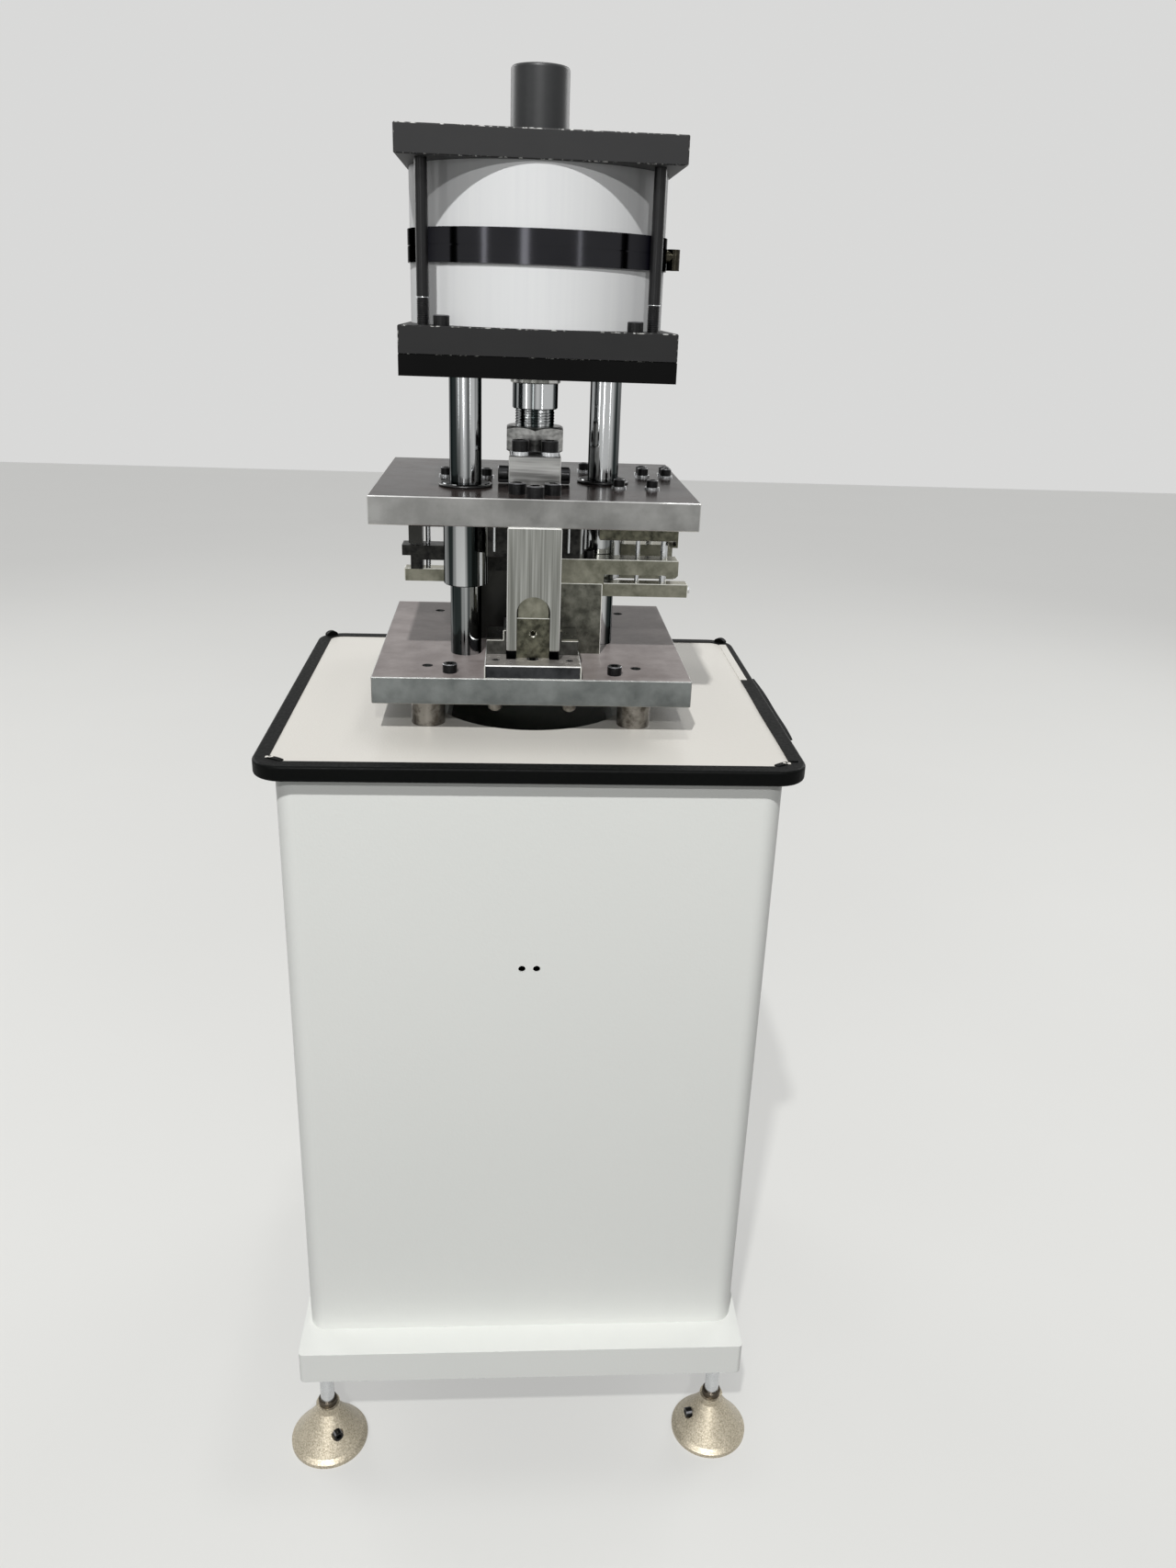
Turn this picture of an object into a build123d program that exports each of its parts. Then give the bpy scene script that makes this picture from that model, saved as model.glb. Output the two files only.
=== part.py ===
"""Pneumatic punching press for window profiles: cabinet, two-post die set and tandem cylinder.

Millimetres. X runs to the operator's right, Y to the back, Z up from the floor.
The origin is on the floor under the middle of the cabinet. The ram is drawn at its lower stop.
"""
import os
from collections import namedtuple
from build123d import *

os.makedirs("parts", exist_ok=True)

# Fits
running_gap = 0.05  # radial, post in bush and rod in gland
body_gap = 0.3  # between pieces that move past each other
screw_gap = 0.5  # radial, screw in a clearance hole

# Levelling feet and plinth
foot_inset_x = 26
foot_inset_y = 38
bell_diameter = 98
bell_height = 62
bell_boss_diameter = 30
bell_boss_height = 10
bell_shoulder_reach = 7
bell_shoulder_drop = 20
bell_rim_width = 6
bell_rim_height = 5
bell_web = 6
shank_diameter = 14
shank_bottom = 18
stud_diameter = 18
stud_collar_gap = 4
stud_spare = 5
thread_lead = 1.5
foot_nut_across = 30
foot_nut_height = 12
lock_screw_thread = 8
lock_screw_height = 33
lock_seat = 26
plinth_clearance = 139
plinth_width = 556
plinth_depth = 576
plinth_height = 44
plinth_rail = 70
plinth_radius = 6
plinth_pad_thickness = 6
sheet = 3

# Cabinet, with a door in its left side
cabinet_width = 540
cabinet_depth = 494
cabinet_radius = 22
cabinet_wall = 2
cabinet_rim = 28
door_margin = 47
door_height = 620
door_sill = 60
door_fold = 18
door_gap = 2
cable_hole_diameter = 8
cable_hole_spacing = 16.5
cable_hole_drop = 242
hinge_height = 60
hinge_leaf = 20
hinge_thickness = 3
knuckle_diameter = 11
knuckle_standoff = 0.5
hinge_pin_diameter = 6
hinge_inset = 90
lock_spindle_diameter = 10
lock_barrel_diameter = 18
lock_plate_diameter = 30
lock_plate_thickness = 3
lock_hub_diameter = 24
lock_handle_round = 1.5
lock_inset = 26
lock_handle_length = 64
lock_handle_width = 12
lock_handle_thickness = 6
cam_length = 38
cam_width = 16
cam_thickness = 3
cam_gap = 1.5

# Scrap bin
bin_width = 300
bin_height = 330
bin_radius = 14
bin_sheet = 1.5
bin_rim = 9
bin_grip_width = 90
bin_grip_height = 26

# Table
table_overhang_x = 8.5
table_overhang_y = 3.5
table_top = 954
table_radius = 16
table_wall = 2
table_skirt = 9
trim_flap = 4.5
trim_flap_thickness = 1
trim_band = 13
trim_height = 17
trim_round = 3
table_hole_diameter = 228
bearer_width = 40
bearer_height = 36
bearer_wall = 3

# Die set
die_y = 15
plate_width = 350
lower_plate_depth = 350
lower_plate_thickness = 30
upper_plate_depth = 320
upper_plate_thickness = 30
upper_plate_setback = 20
die_opening = 160
edge_break = 1
spacer_height = 36
spacer_diameter = 38
spacer_spacing_x = 234
spacer_spacing_y = 254
spacer_bolt_thread = 12
spacer_bolt_engagement = 22
post_diameter = 35
post_offset_x = 78
post_shift_x = 2
post_offset_y = 27.5
post_socket = 12
post_screw_thread = 12
post_screw_depth = 24
bush_diameter = 50
bush_drop = 79
bush_flange_diameter = 54
bush_flange = 4
clamp_screw_thread = 10
clamp_screw_x = 91
clamp_screw_inset = 24
clamp_screw_length = 22

# Ram and tandem cylinder
ram_y = -25
ram_stroke = 30
cylinder_square = 275
lower_head_thickness = 27
upper_head_thickness = 26
adapter_thickness = 20
adapter_clearance = 120
bore_diameter = 250
barrel_diameter = 268
barrel_register = 3
middle_flange_height = 32
middle_flange_diameter = 273
middle_flange_groove = 1.2
piston_thickness = 24
piston_rest_gap = 2
piston_end_gap = 2
seal_height = 8
seal_depth = 6
rod_diameter = 50
rod_neck_diameter = 36
rod_thread_diameter = 42
rod_shoulder_drop = 38
rod_end_gap = 3
gland_flange_diameter = 68
gland_flange_height = 6
gland_body_diameter = 60
gland_nose_diameter = 55
gland_nose_drop = 11
tail_diameter = 24
tail_nut_across = 36
tail_nut_height = 12
tail_spare = 8
cap_diameter = 60
cap_wall = 4
cap_clearance = 3.7
cap_register = 4
tie_rod_inset = 23.5
tie_rod_diameter = 12
tie_rod_thread_diameter = 11
tie_rod_thread_length = 25
tie_rod_engagement = 20
tie_nut_across = 19
tie_nut_height = 10
tie_nut_spare = 1
tie_pocket_diameter = 24
tie_pocket_depth = 12
head_screw_thread = 10
head_screw_x = 95.5
head_screw_inset = 14.5
head_screw_engagement = 10
coupling_width = 57
coupling_depth = 100
coupling_height = 36
coupling_screw_thread = 12
coupling_screw_x = 16
coupling_screw_inset = 11
coupling_washer_diameter = 21
coupling_washer_thickness = 4
rod_clamp_height = 10
lock_nut_across = 62
lock_nut_height = 28
piston_nut_across = 50
piston_nut_height = 16
piston_nut_recess = 64
piston_nut_clearance = 18
port_diameter = 12
port_depth = 45
port_feed_diameter = 8
port_feed_inset = 25
elbow_diameter = 14
elbow_reach = 15
elbow_bore = 6

# Front notching tool
front_base_width = 105
front_base_depth = 105
front_base_thickness = 15
front_screw_thread = 8
front_screw_x = 40.5
front_screw_inset = 23
front_screw_shown = 4
key_hole_diameter = 13
key_hole_inset = 28
notch_block_width = 58
notch_block_depth = 52
notch_block_gap = 11
notch_slot_width = 36.5
notch_slot_spring = 42
slug_window_width = 11
slug_window_depth = 40
anvil_height = 45
anvil_setback = 12
anvil_side_gap = 0.3
anvil_screw_diameter = 6
anvil_screw_height = 27.5
anvil_screw_depth = 20
holder_depth = 59
holder_web = 8
holder_foot_width = 102
holder_foot_height = 16
holder_step_width = 65
holder_step_height = 11
holder_gap = 0.6
notch_screw_thread = 12
notch_screw_x = 19
notch_screw_inset = 37
notch_screw_lead = 21
backer_width = 104
backer_depth = 26
backer_height = 42
backer_screw_x = 42
pin_diameter = 3.2
pin_drop = 34
pin_grip = 12
pin_left_x = -43
pin_right_x = 38
pin_lead = 7

# Side punching tools
tool_inner_x = 28
tool_block_x = 80
tool_block_height = 83
profile_gap = 11
guide_thickness = 28
guide_shoulder = 1.5
die_bar_thickness = 15
die_bar_tongue = 11
die_bar_margin = 4
punch_holder_thickness = 27
die_entry = 4
punch_head_extra = 1.5
punch_head_height = 5
die_clearance = 0.15
slug_relief = 1
die_land = 6
tool_screw_thread = 8
tool_washer_diameter = 17
tool_washer_thickness = 2
guide_screw_near = 38
guide_screw_far = 64
block_screw_near = 40
block_screw_far = 68
screw_engagement = 16
bar_screw_diameter = 5
bar_screw_shown = 3
lug_length = 15
lug_drop = 3
left_lug_thickness = 12
end_plate_thickness = 2
end_plate_drop = 34
end_plate_foot = 6.5
left_stop_inner = 129
left_stop_outer = 143
left_leg_bottom = 2
right_front_y = -39
right_front_depth = 28
right_front_guide_reach = 167
right_front_bar_reach = 180
right_front_holder = (75, 163)
right_front_punches = [(120.5, 5), (151, 8)]
right_front_screws = [(95.5, -42), (133, -42)]
left_y = 21
left_depth = 28
left_guide_reach = 153
left_bar_reach = 151
left_holder = (30, 145)
left_punches = [(123, 6)]
left_screws = [(-101, 21), (-54, 21)]
right_rear_y = 75
right_rear_depth = 60
right_rear_guide_reach = 172
right_rear_bar_reach = 176
right_rear_holder = (50, 175)
right_rear_punches = [(112, 8), (146, 8)]
right_rear_screws = [(132, 58), (160, 58), (132, 77), (160, 77), (63, 93)]

# Heights, from the floor up
plinth_top = plinth_clearance + plinth_height
tray_bottom = table_top - sheet
bearer_bottom = tray_bottom - bearer_height
lower_plate_bottom = table_top + spacer_height
lower_plate_top = lower_plate_bottom + lower_plate_thickness
upper_plate_bottom = lower_plate_top + die_opening
upper_plate_top = upper_plate_bottom + upper_plate_thickness
adapter_bottom = upper_plate_top + adapter_clearance
adapter_top = adapter_bottom + adapter_thickness
lower_head_top = adapter_top + lower_head_thickness
barrel_height = piston_rest_gap + piston_thickness + ram_stroke + piston_end_gap
flange_bottom = lower_head_top + barrel_height
flange_top = flange_bottom + middle_flange_height
upper_head_bottom = flange_top + barrel_height
upper_head_top = upper_head_bottom + upper_head_thickness
stop_nut_bottom = upper_head_top + body_gap
tail_top = stop_nut_bottom + 2 * tail_nut_height + tail_spare
cap_top = tail_top + ram_stroke + cap_clearance + cap_wall
coupling_top = upper_plate_top + coupling_height
lower_piston_bottom = lower_head_top + piston_rest_gap
upper_piston_bottom = flange_top + piston_rest_gap
front_base_top = lower_plate_top + front_base_thickness
block_top = lower_plate_top + tool_block_height
guide_top = block_top + guide_thickness
overhang_bottom = block_top + profile_gap
die_bar_bottom = block_top - die_bar_thickness
holder_bottom = upper_plate_bottom - punch_holder_thickness

# Places across the plan
foot_spacing_x = plinth_width - 2 * foot_inset_x
foot_spacing_y = plinth_depth - 2 * foot_inset_y
door_width = cabinet_depth - 2 * door_margin
tray_width = cabinet_width + 2 * table_overhang_x
tray_depth = cabinet_depth + 2 * table_overhang_y
table_width = tray_width - 2 * trim_flap
table_depth = tray_depth - 2 * trim_flap
trim_width = tray_width + 2 * trim_band
trim_depth = tray_depth + 2 * trim_band
lower_plate_front = die_y - lower_plate_depth / 2
upper_plate_front = lower_plate_front + upper_plate_setback
upper_plate_y = upper_plate_front + upper_plate_depth / 2
notch_block_back = upper_plate_front + notch_block_depth
front_base_y = lower_plate_front + front_base_depth / 2
front_base_back = lower_plate_front + front_base_depth
anvil_front = upper_plate_front + anvil_setback
post_places = [
    (post_shift_x - post_offset_x, ram_y - post_offset_y),
    (post_shift_x + post_offset_x, ram_y + post_offset_y),
]
spacer_places = [
    (sx * spacer_spacing_x / 2, die_y + sy * spacer_spacing_y / 2) for sx in (-1, 1) for sy in (-1, 1)
]
tie_rod_spacing = cylinder_square - 2 * tie_rod_inset
head_screw_y = cylinder_square / 2 - head_screw_inset
coupling_screw_y = coupling_depth / 2 - coupling_screw_inset
side_face = -cabinet_width / 2
door_middle = plinth_top + door_sill + door_height / 2

# The three side tools: side is 1 on the right and -1 on the left
SideTool = namedtuple("SideTool", "side y depth bar_reach punches")
right_front_tool = SideTool(1, right_front_y, right_front_depth, right_front_bar_reach, right_front_punches)
left_tool = SideTool(-1, left_y, left_depth, left_bar_reach, left_punches)
right_rear_tool = SideTool(1, right_rear_y, right_rear_depth, right_rear_bar_reach, right_rear_punches)
side_tools = [right_front_tool, left_tool, right_rear_tool]


def finish(piece, name):
    """Label a finished piece and write it out."""
    piece.part.label = name
    export_step(piece.part, f"parts/{name}.step")


def head_radius(thread):
    """The radius of a socket head: half of one and a half times the thread plus a millimetre."""
    return (thread * 1.5 + 1) / 2


def cap_screw(thread, length):
    """A socket head cap screw whose head stands on the origin and whose shank hangs below."""
    with BuildPart() as screw:
        with BuildSketch():
            Circle(head_radius(thread))
        extrude(amount=thread)
        chamfer(screw.edges().group_by(Axis.Z)[-1], thread * 0.08)
        with BuildSketch(Plane.XY.offset(thread)):
            RegularPolygon(thread * 0.42, 6, major_radius=False)
        extrude(amount=-thread * 0.5, mode=Mode.SUBTRACT)
        with BuildSketch():
            Circle(thread / 2)
        extrude(amount=-length)
    return screw.part


def hex_nut(across, height, bore):
    """A hexagon nut that stands on the origin, one corner to the front, its faces chamfered."""
    corner = across / 2 / 0.866
    face = across * 0.475
    slope = (corner - face) / 2
    with BuildPart() as nut:
        with BuildSketch():
            RegularPolygon(across / 2, 6, major_radius=False, rotation=30)
        extrude(amount=height)
        with BuildSketch(Plane.XZ):
            Polygon(
                (0, 0),
                (face, 0),
                (corner, slope),
                (corner, height - slope),
                (face, height),
                (0, height),
                align=None,
            )
        revolve(axis=Axis.Z, mode=Mode.INTERSECT)
        with BuildSketch():
            Circle(bore / 2)
        extrude(amount=height, mode=Mode.SUBTRACT)
    return nut.part


# Levelling feet: a cast bell, a threaded stud, a jam nut under the plinth and a lock screw
foot_turns = {(-1, -1): -60, (1, -1): 190, (-1, 1): 60, (1, 1): 120}
foot_places = [
    Location((sx * foot_spacing_x / 2, sy * foot_spacing_y / 2, 0), (0, 0, turn))
    for (sx, sy), turn in foot_turns.items()
]
bell_rim = bell_diameter / 2
bell_boss = bell_boss_diameter / 2
bell_floor = shank_bottom - bell_web

with BuildPart() as bell:
    with BuildSketch(Plane.XZ):
        Polygon(
            (shank_diameter / 2, shank_bottom),
            (shank_diameter / 2, bell_height),
            (bell_boss, bell_height),
            (bell_boss, bell_height - bell_boss_height),
            (bell_boss + bell_shoulder_reach, bell_height - bell_shoulder_drop),
            (bell_rim - bell_rim_height, 2 * bell_rim_height),
            (bell_rim, bell_rim_height),
            (bell_rim, 0),
            (bell_rim - bell_rim_width, 0),
            (bell_rim - bell_rim_width, bell_rim_height),
            (bell_boss, bell_floor),
            (0, bell_floor),
            (0, shank_bottom),
            align=None,
        )
    revolve(axis=Axis.Z)
    with BuildSketch(Plane((lock_seat, 0, lock_screw_height), z_dir=(1, 0, 0))):
        Circle(lock_screw_thread)
    extrude(amount=bell_rim, mode=Mode.SUBTRACT)
    with BuildSketch(Plane((lock_seat, 0, lock_screw_height), z_dir=(-1, 0, 0))):
        Circle(lock_screw_thread / 2)
    extrude(amount=lock_seat, mode=Mode.SUBTRACT)

with BuildPart() as foot_bells:
    with Locations(*foot_places):
        add(bell.part)
finish(foot_bells, "foot_bells")

with BuildPart() as lock_screw:
    with BuildSketch(Plane((lock_seat, 0, lock_screw_height), z_dir=(1, 0, 0))):
        Circle(lock_screw_thread * 0.75)
    extrude(amount=lock_screw_thread)
    with BuildSketch(Plane((lock_seat + lock_screw_thread, 0, lock_screw_height), z_dir=(1, 0, 0))):
        RegularPolygon(lock_screw_thread * 0.42, 6, major_radius=False)
    extrude(amount=-lock_screw_thread / 2, mode=Mode.SUBTRACT)
    with BuildSketch(Plane((lock_seat, 0, lock_screw_height), z_dir=(-1, 0, 0))):
        Circle(lock_screw_thread / 2)
    extrude(amount=lock_seat - shank_diameter / 2)

with BuildPart() as foot_lock_screws:
    with Locations(*foot_places):
        add(lock_screw.part)
finish(foot_lock_screws, "foot_lock_screws")

stud_collar = bell_height + stud_collar_gap
stud_top = plinth_top - sheet - stud_spare
with BuildPart() as stud:
    with BuildSketch(Plane.XZ):
        Polygon(
            (0, shank_bottom),
            (shank_diameter / 2, shank_bottom),
            (shank_diameter / 2, stud_collar),
            (stud_diameter / 2 - thread_lead, stud_collar),
            (stud_diameter / 2, stud_collar + thread_lead),
            (stud_diameter / 2, stud_top - thread_lead),
            (stud_diameter / 2 - thread_lead, stud_top),
            (0, stud_top),
            align=None,
        )
    revolve(axis=Axis.Z)

with BuildPart() as foot_studs:
    with GridLocations(foot_spacing_x, foot_spacing_y, 2, 2):
        add(stud.part)
finish(foot_studs, "foot_studs")

foot_nut = hex_nut(foot_nut_across, foot_nut_height, stud_diameter)
with BuildPart() as foot_jam_nuts:
    with Locations((0, 0, plinth_clearance - foot_nut_height)):
        with GridLocations(foot_spacing_x, foot_spacing_y, 2, 2):
            add(foot_nut)
finish(foot_jam_nuts, "foot_jam_nuts")

# Plinth: a folded channel run round in a ring, open below, with a threaded pad at each foot
pad_size = plinth_rail - 2 * sheet
rail_inner_width = plinth_width - 2 * plinth_rail
rail_inner_depth = plinth_depth - 2 * plinth_rail
with BuildPart() as plinth_frame:
    with BuildSketch(Plane.XY.offset(plinth_clearance)):
        RectangleRounded(plinth_width, plinth_depth, plinth_radius)
        Rectangle(rail_inner_width, rail_inner_depth, mode=Mode.SUBTRACT)
    extrude(amount=plinth_height)
    with BuildSketch(Plane.XY.offset(plinth_clearance)):
        RectangleRounded(plinth_width - 2 * sheet, plinth_depth - 2 * sheet, plinth_radius - sheet)
        Rectangle(rail_inner_width + 2 * sheet, rail_inner_depth + 2 * sheet, mode=Mode.SUBTRACT)
    extrude(amount=plinth_height - sheet, mode=Mode.SUBTRACT)
    with BuildSketch(Plane.XY.offset(plinth_clearance)):
        with GridLocations(rail_inner_width + plinth_rail, rail_inner_depth + plinth_rail, 2, 2):
            RectangleRounded(pad_size, pad_size, plinth_radius - sheet)
    extrude(amount=plinth_pad_thickness)
    with BuildSketch(Plane.XY.offset(plinth_clearance)):
        with GridLocations(foot_spacing_x, foot_spacing_y, 2, 2):
            Circle(stud_diameter / 2)
    extrude(amount=plinth_pad_thickness, mode=Mode.SUBTRACT)
finish(plinth_frame, "plinth_frame")

# Cabinet: folded sheet with round corners, a floor, an inward rim under the table and a door jamb
door_plane = Plane((side_face, 0, door_middle), x_dir=(0, 1, 0), z_dir=(1, 0, 0))
front_plane = Plane((0, 0, tray_bottom - cable_hole_drop), x_dir=(1, 0, 0), z_dir=(0, -1, 0))
with BuildPart() as cabinet_shell:
    with BuildSketch(Plane.XY.offset(plinth_top)):
        RectangleRounded(cabinet_width, cabinet_depth, cabinet_radius)
    extrude(amount=tray_bottom - plinth_top)
    with BuildSketch(Plane.XY.offset(plinth_top + cabinet_wall)):
        RectangleRounded(
            cabinet_width - 2 * cabinet_wall,
            cabinet_depth - 2 * cabinet_wall,
            cabinet_radius - cabinet_wall,
        )
    extrude(amount=tray_bottom - plinth_top - cabinet_wall - sheet, mode=Mode.SUBTRACT)
    with BuildSketch(Plane.XY.offset(tray_bottom - sheet)):
        Rectangle(cabinet_width - 2 * cabinet_rim, cabinet_depth - 2 * cabinet_rim)
        with GridLocations(spacer_spacing_x, 0, 2, 1):
            Rectangle(bearer_width, cabinet_depth - 2 * cabinet_wall)
    extrude(amount=sheet, mode=Mode.SUBTRACT)
    with BuildSketch(door_plane):
        Rectangle(door_width + 2 * cabinet_wall, door_height + 2 * cabinet_wall)
    extrude(amount=door_fold)
    with BuildSketch(door_plane):
        Rectangle(door_width, door_height)
    extrude(amount=door_fold, mode=Mode.SUBTRACT)
    with BuildSketch(front_plane):
        with GridLocations(cable_hole_spacing, 0, 2, 1):
            Circle(cable_hole_diameter / 2)
    extrude(amount=cabinet_depth, mode=Mode.SUBTRACT)
finish(cabinet_shell, "cabinet_shell")

# Door: a folded pan that fills the opening, on two surface hinges, with a quarter-turn lock
pan_width = door_width - 2 * door_gap
pan_height = door_height - 2 * door_gap
lock_y = lock_inset - pan_width / 2
lock_plane = Plane((side_face, lock_y, door_middle), x_dir=(0, 1, 0), z_dir=(1, 0, 0))
cam_face = side_face + door_fold + cam_gap
with BuildPart() as door_panel:
    with BuildSketch(door_plane):
        Rectangle(pan_width, pan_height)
    extrude(amount=door_fold)
    with BuildSketch(door_plane.offset(cabinet_wall)):
        Rectangle(pan_width - 2 * cabinet_wall, pan_height - 2 * cabinet_wall)
    extrude(amount=door_fold - cabinet_wall, mode=Mode.SUBTRACT)
    with BuildSketch(lock_plane):
        Circle(lock_barrel_diameter / 2)
    extrude(amount=cabinet_wall, mode=Mode.SUBTRACT)
finish(door_panel, "door_panel")

with BuildPart() as door_lock_body:
    with BuildSketch(lock_plane):
        Circle(lock_plate_diameter / 2)
    extrude(amount=-lock_plate_thickness)
    with BuildSketch(lock_plane):
        Circle(lock_barrel_diameter / 2)
    extrude(amount=cam_face - side_face - body_gap)
    with BuildSketch(lock_plane.offset(-lock_plate_thickness)):
        Circle(lock_spindle_diameter / 2 + running_gap)
    extrude(amount=lock_plate_thickness + door_fold + cam_gap, mode=Mode.SUBTRACT)
finish(door_lock_body, "door_lock_body")

with BuildPart() as door_lock_handle:
    with BuildSketch(lock_plane.offset(-lock_plate_thickness - body_gap)):
        Circle(lock_hub_diameter / 2)
        SlotOverall(lock_handle_length, lock_handle_width, rotation=90)
    extrude(amount=-lock_handle_thickness)
    fillet(door_lock_handle.faces().sort_by(Axis.X)[0].edges(), lock_handle_round)
    with BuildSketch(lock_plane.offset(-lock_plate_thickness - body_gap)):
        Circle(lock_spindle_diameter / 2)
    extrude(amount=lock_plate_thickness + body_gap + cam_face + cam_thickness - side_face)
finish(door_lock_handle, "door_lock_handle")

with BuildPart() as door_lock_cam:
    with BuildSketch(lock_plane.offset(cam_face - side_face)):
        with Locations((0, (cam_width / 2 - cam_length) / 2)):
            Rectangle(cam_width, cam_length + cam_width / 2)
        Circle(lock_spindle_diameter / 2, mode=Mode.SUBTRACT)
    extrude(amount=cam_thickness)
finish(door_lock_cam, "door_lock_cam")

hinge_x = side_face - knuckle_diameter / 2 - knuckle_standoff
hinge_y = door_width / 2 - door_gap / 2
hinge_middles = [
    door_middle + door_height / 2 - hinge_inset,
    door_middle - door_height / 2 + hinge_inset,
]
knuckle = (hinge_height - 2 * body_gap) / 3


def hinge_leaves(side, knuckle_starts, bore):
    """The leaves of both hinges on one side of the pin (1 back, -1 front), with their knuckles."""
    leaf_start = knuckle_diameter / 2 + body_gap
    with BuildPart() as leaves:
        for middle in hinge_middles:
            bottom = middle - hinge_height / 2
            leaf_x = side_face - hinge_thickness / 2
            with BuildSketch(Plane.XY.offset(bottom)):
                with Locations((leaf_x, hinge_y + side * (leaf_start + hinge_leaf / 2))):
                    Rectangle(hinge_thickness, hinge_leaf)
            extrude(amount=hinge_height)
            for start in knuckle_starts:
                with BuildSketch(Plane.XY.offset(bottom + start)):
                    with Locations((hinge_x, hinge_y)):
                        Circle(knuckle_diameter / 2)
                    with Locations((leaf_x, hinge_y + side * leaf_start / 2)):
                        Rectangle(hinge_thickness, leaf_start)
                extrude(amount=knuckle)
            with BuildSketch(Plane.XY.offset(bottom)):
                with Locations((hinge_x, hinge_y)):
                    Circle(bore / 2)
            extrude(amount=hinge_height, mode=Mode.SUBTRACT)
    return leaves


cabinet_hinge_leaves = hinge_leaves(1, [0, 2 * (knuckle + body_gap)], hinge_pin_diameter)
finish(cabinet_hinge_leaves, "cabinet_hinge_leaves")

door_bore = hinge_pin_diameter + 2 * running_gap
door_hinge_leaves = hinge_leaves(-1, [knuckle + body_gap], door_bore)
finish(door_hinge_leaves, "door_hinge_leaves")

with BuildPart() as hinge_pins:
    for middle in hinge_middles:
        with BuildSketch(Plane.XY.offset(middle - hinge_height / 2)):
            with Locations((hinge_x, hinge_y)):
                Circle(hinge_pin_diameter / 2)
        extrude(amount=hinge_height)
finish(hinge_pins, "hinge_pins")

# Scrap bin: a folded sheet box with a turned-out rim and two grip holes, under the table's hole
bin_bottom = plinth_top + cabinet_wall
bin_top = bin_bottom + bin_height
with BuildPart() as scrap_bin:
    with BuildSketch(Plane.XY.offset(bin_bottom)):
        with Locations((0, ram_y)):
            RectangleRounded(bin_width, bin_width, bin_radius)
    extrude(amount=bin_height)
    with BuildSketch(Plane.XY.offset(bin_top - bin_sheet)):
        with Locations((0, ram_y)):
            RectangleRounded(bin_width + 2 * bin_rim, bin_width + 2 * bin_rim, bin_radius + bin_rim)
    extrude(amount=bin_sheet)
    with BuildSketch(Plane.XY.offset(bin_bottom + bin_sheet)):
        with Locations((0, ram_y)):
            RectangleRounded(
                bin_width - 2 * bin_sheet, bin_width - 2 * bin_sheet, bin_radius - bin_sheet
            )
    extrude(amount=bin_height, mode=Mode.SUBTRACT)
    with BuildSketch(Plane((0, ram_y, bin_top - 2 * bin_grip_height), x_dir=(0, 1, 0), z_dir=(1, 0, 0))):
        SlotOverall(bin_grip_width, bin_grip_height)
    extrude(amount=bin_width, both=True, mode=Mode.SUBTRACT)
finish(scrap_bin, "scrap_bin")

# Table: two square tubes across the cabinet, and a sheet tray with a turned-down edge
bearer_length = cabinet_depth - 2 * cabinet_wall
bolt_hole = spacer_bolt_thread / 2 + screw_gap
with BuildPart() as table_bearers:
    with BuildSketch(Plane.XZ.offset(-bearer_length / 2)):
        with Locations((0, bearer_bottom + bearer_height / 2)):
            with GridLocations(spacer_spacing_x, 0, 2, 1):
                Rectangle(bearer_width, bearer_height)
                Rectangle(
                    bearer_width - 2 * bearer_wall,
                    bearer_height - 2 * bearer_wall,
                    mode=Mode.SUBTRACT,
                )
    extrude(amount=bearer_length)
    with BuildSketch(Plane.XY.offset(bearer_bottom)):
        with Locations(*spacer_places):
            Circle(bolt_hole)
    extrude(amount=bearer_height, mode=Mode.SUBTRACT)
finish(table_bearers, "table_bearers")

tray_radius = table_radius + trim_flap
with BuildPart() as table_tray:
    with BuildSketch(Plane.XY.offset(tray_bottom - table_skirt)):
        RectangleRounded(tray_width, tray_depth, tray_radius)
        RectangleRounded(
            tray_width - 2 * table_wall,
            tray_depth - 2 * table_wall,
            tray_radius - table_wall,
            mode=Mode.SUBTRACT,
        )
    extrude(amount=table_skirt)
    with BuildSketch(Plane.XY.offset(tray_bottom)):
        RectangleRounded(tray_width, tray_depth, tray_radius)
        with Locations((0, ram_y)):
            Circle(table_hole_diameter / 2, mode=Mode.SUBTRACT)
        with Locations(*spacer_places):
            Circle(bolt_hole, mode=Mode.SUBTRACT)
    extrude(amount=sheet)
finish(table_tray, "table_tray")

# Rubber edging: a thick band round the tray's skirt, with a thin flap over the sheet's margin
trim_top = table_top + trim_flap_thickness
with BuildPart() as table_edge_trim:
    with BuildSketch(Plane.XY.offset(trim_top - trim_height)):
        RectangleRounded(trim_width, trim_depth, tray_radius + trim_band)
        RectangleRounded(tray_width, tray_depth, tray_radius, mode=Mode.SUBTRACT)
    extrude(amount=trim_height)
    with BuildSketch(Plane.XY.offset(table_top)):
        RectangleRounded(trim_width, trim_depth, tray_radius + trim_band)
        RectangleRounded(table_width, table_depth, table_radius, mode=Mode.SUBTRACT)
    extrude(amount=trim_flap_thickness)
    outer_top = table_edge_trim.faces().sort_by(Axis.Z)[-1].outer_wire().edges()
    outer_bottom = table_edge_trim.faces().sort_by(Axis.Z)[0].outer_wire().edges()
    fillet(outer_top + outer_bottom, trim_round)
finish(table_edge_trim, "table_edge_trim")

# Spacers and bolts that hold the die set on the table
with BuildPart() as die_set_spacers:
    with BuildSketch(Plane.XY.offset(table_top)):
        with Locations(*spacer_places):
            Circle(spacer_diameter / 2)
            Circle(bolt_hole, mode=Mode.SUBTRACT)
    extrude(amount=spacer_height)
finish(die_set_spacers, "die_set_spacers")

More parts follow.
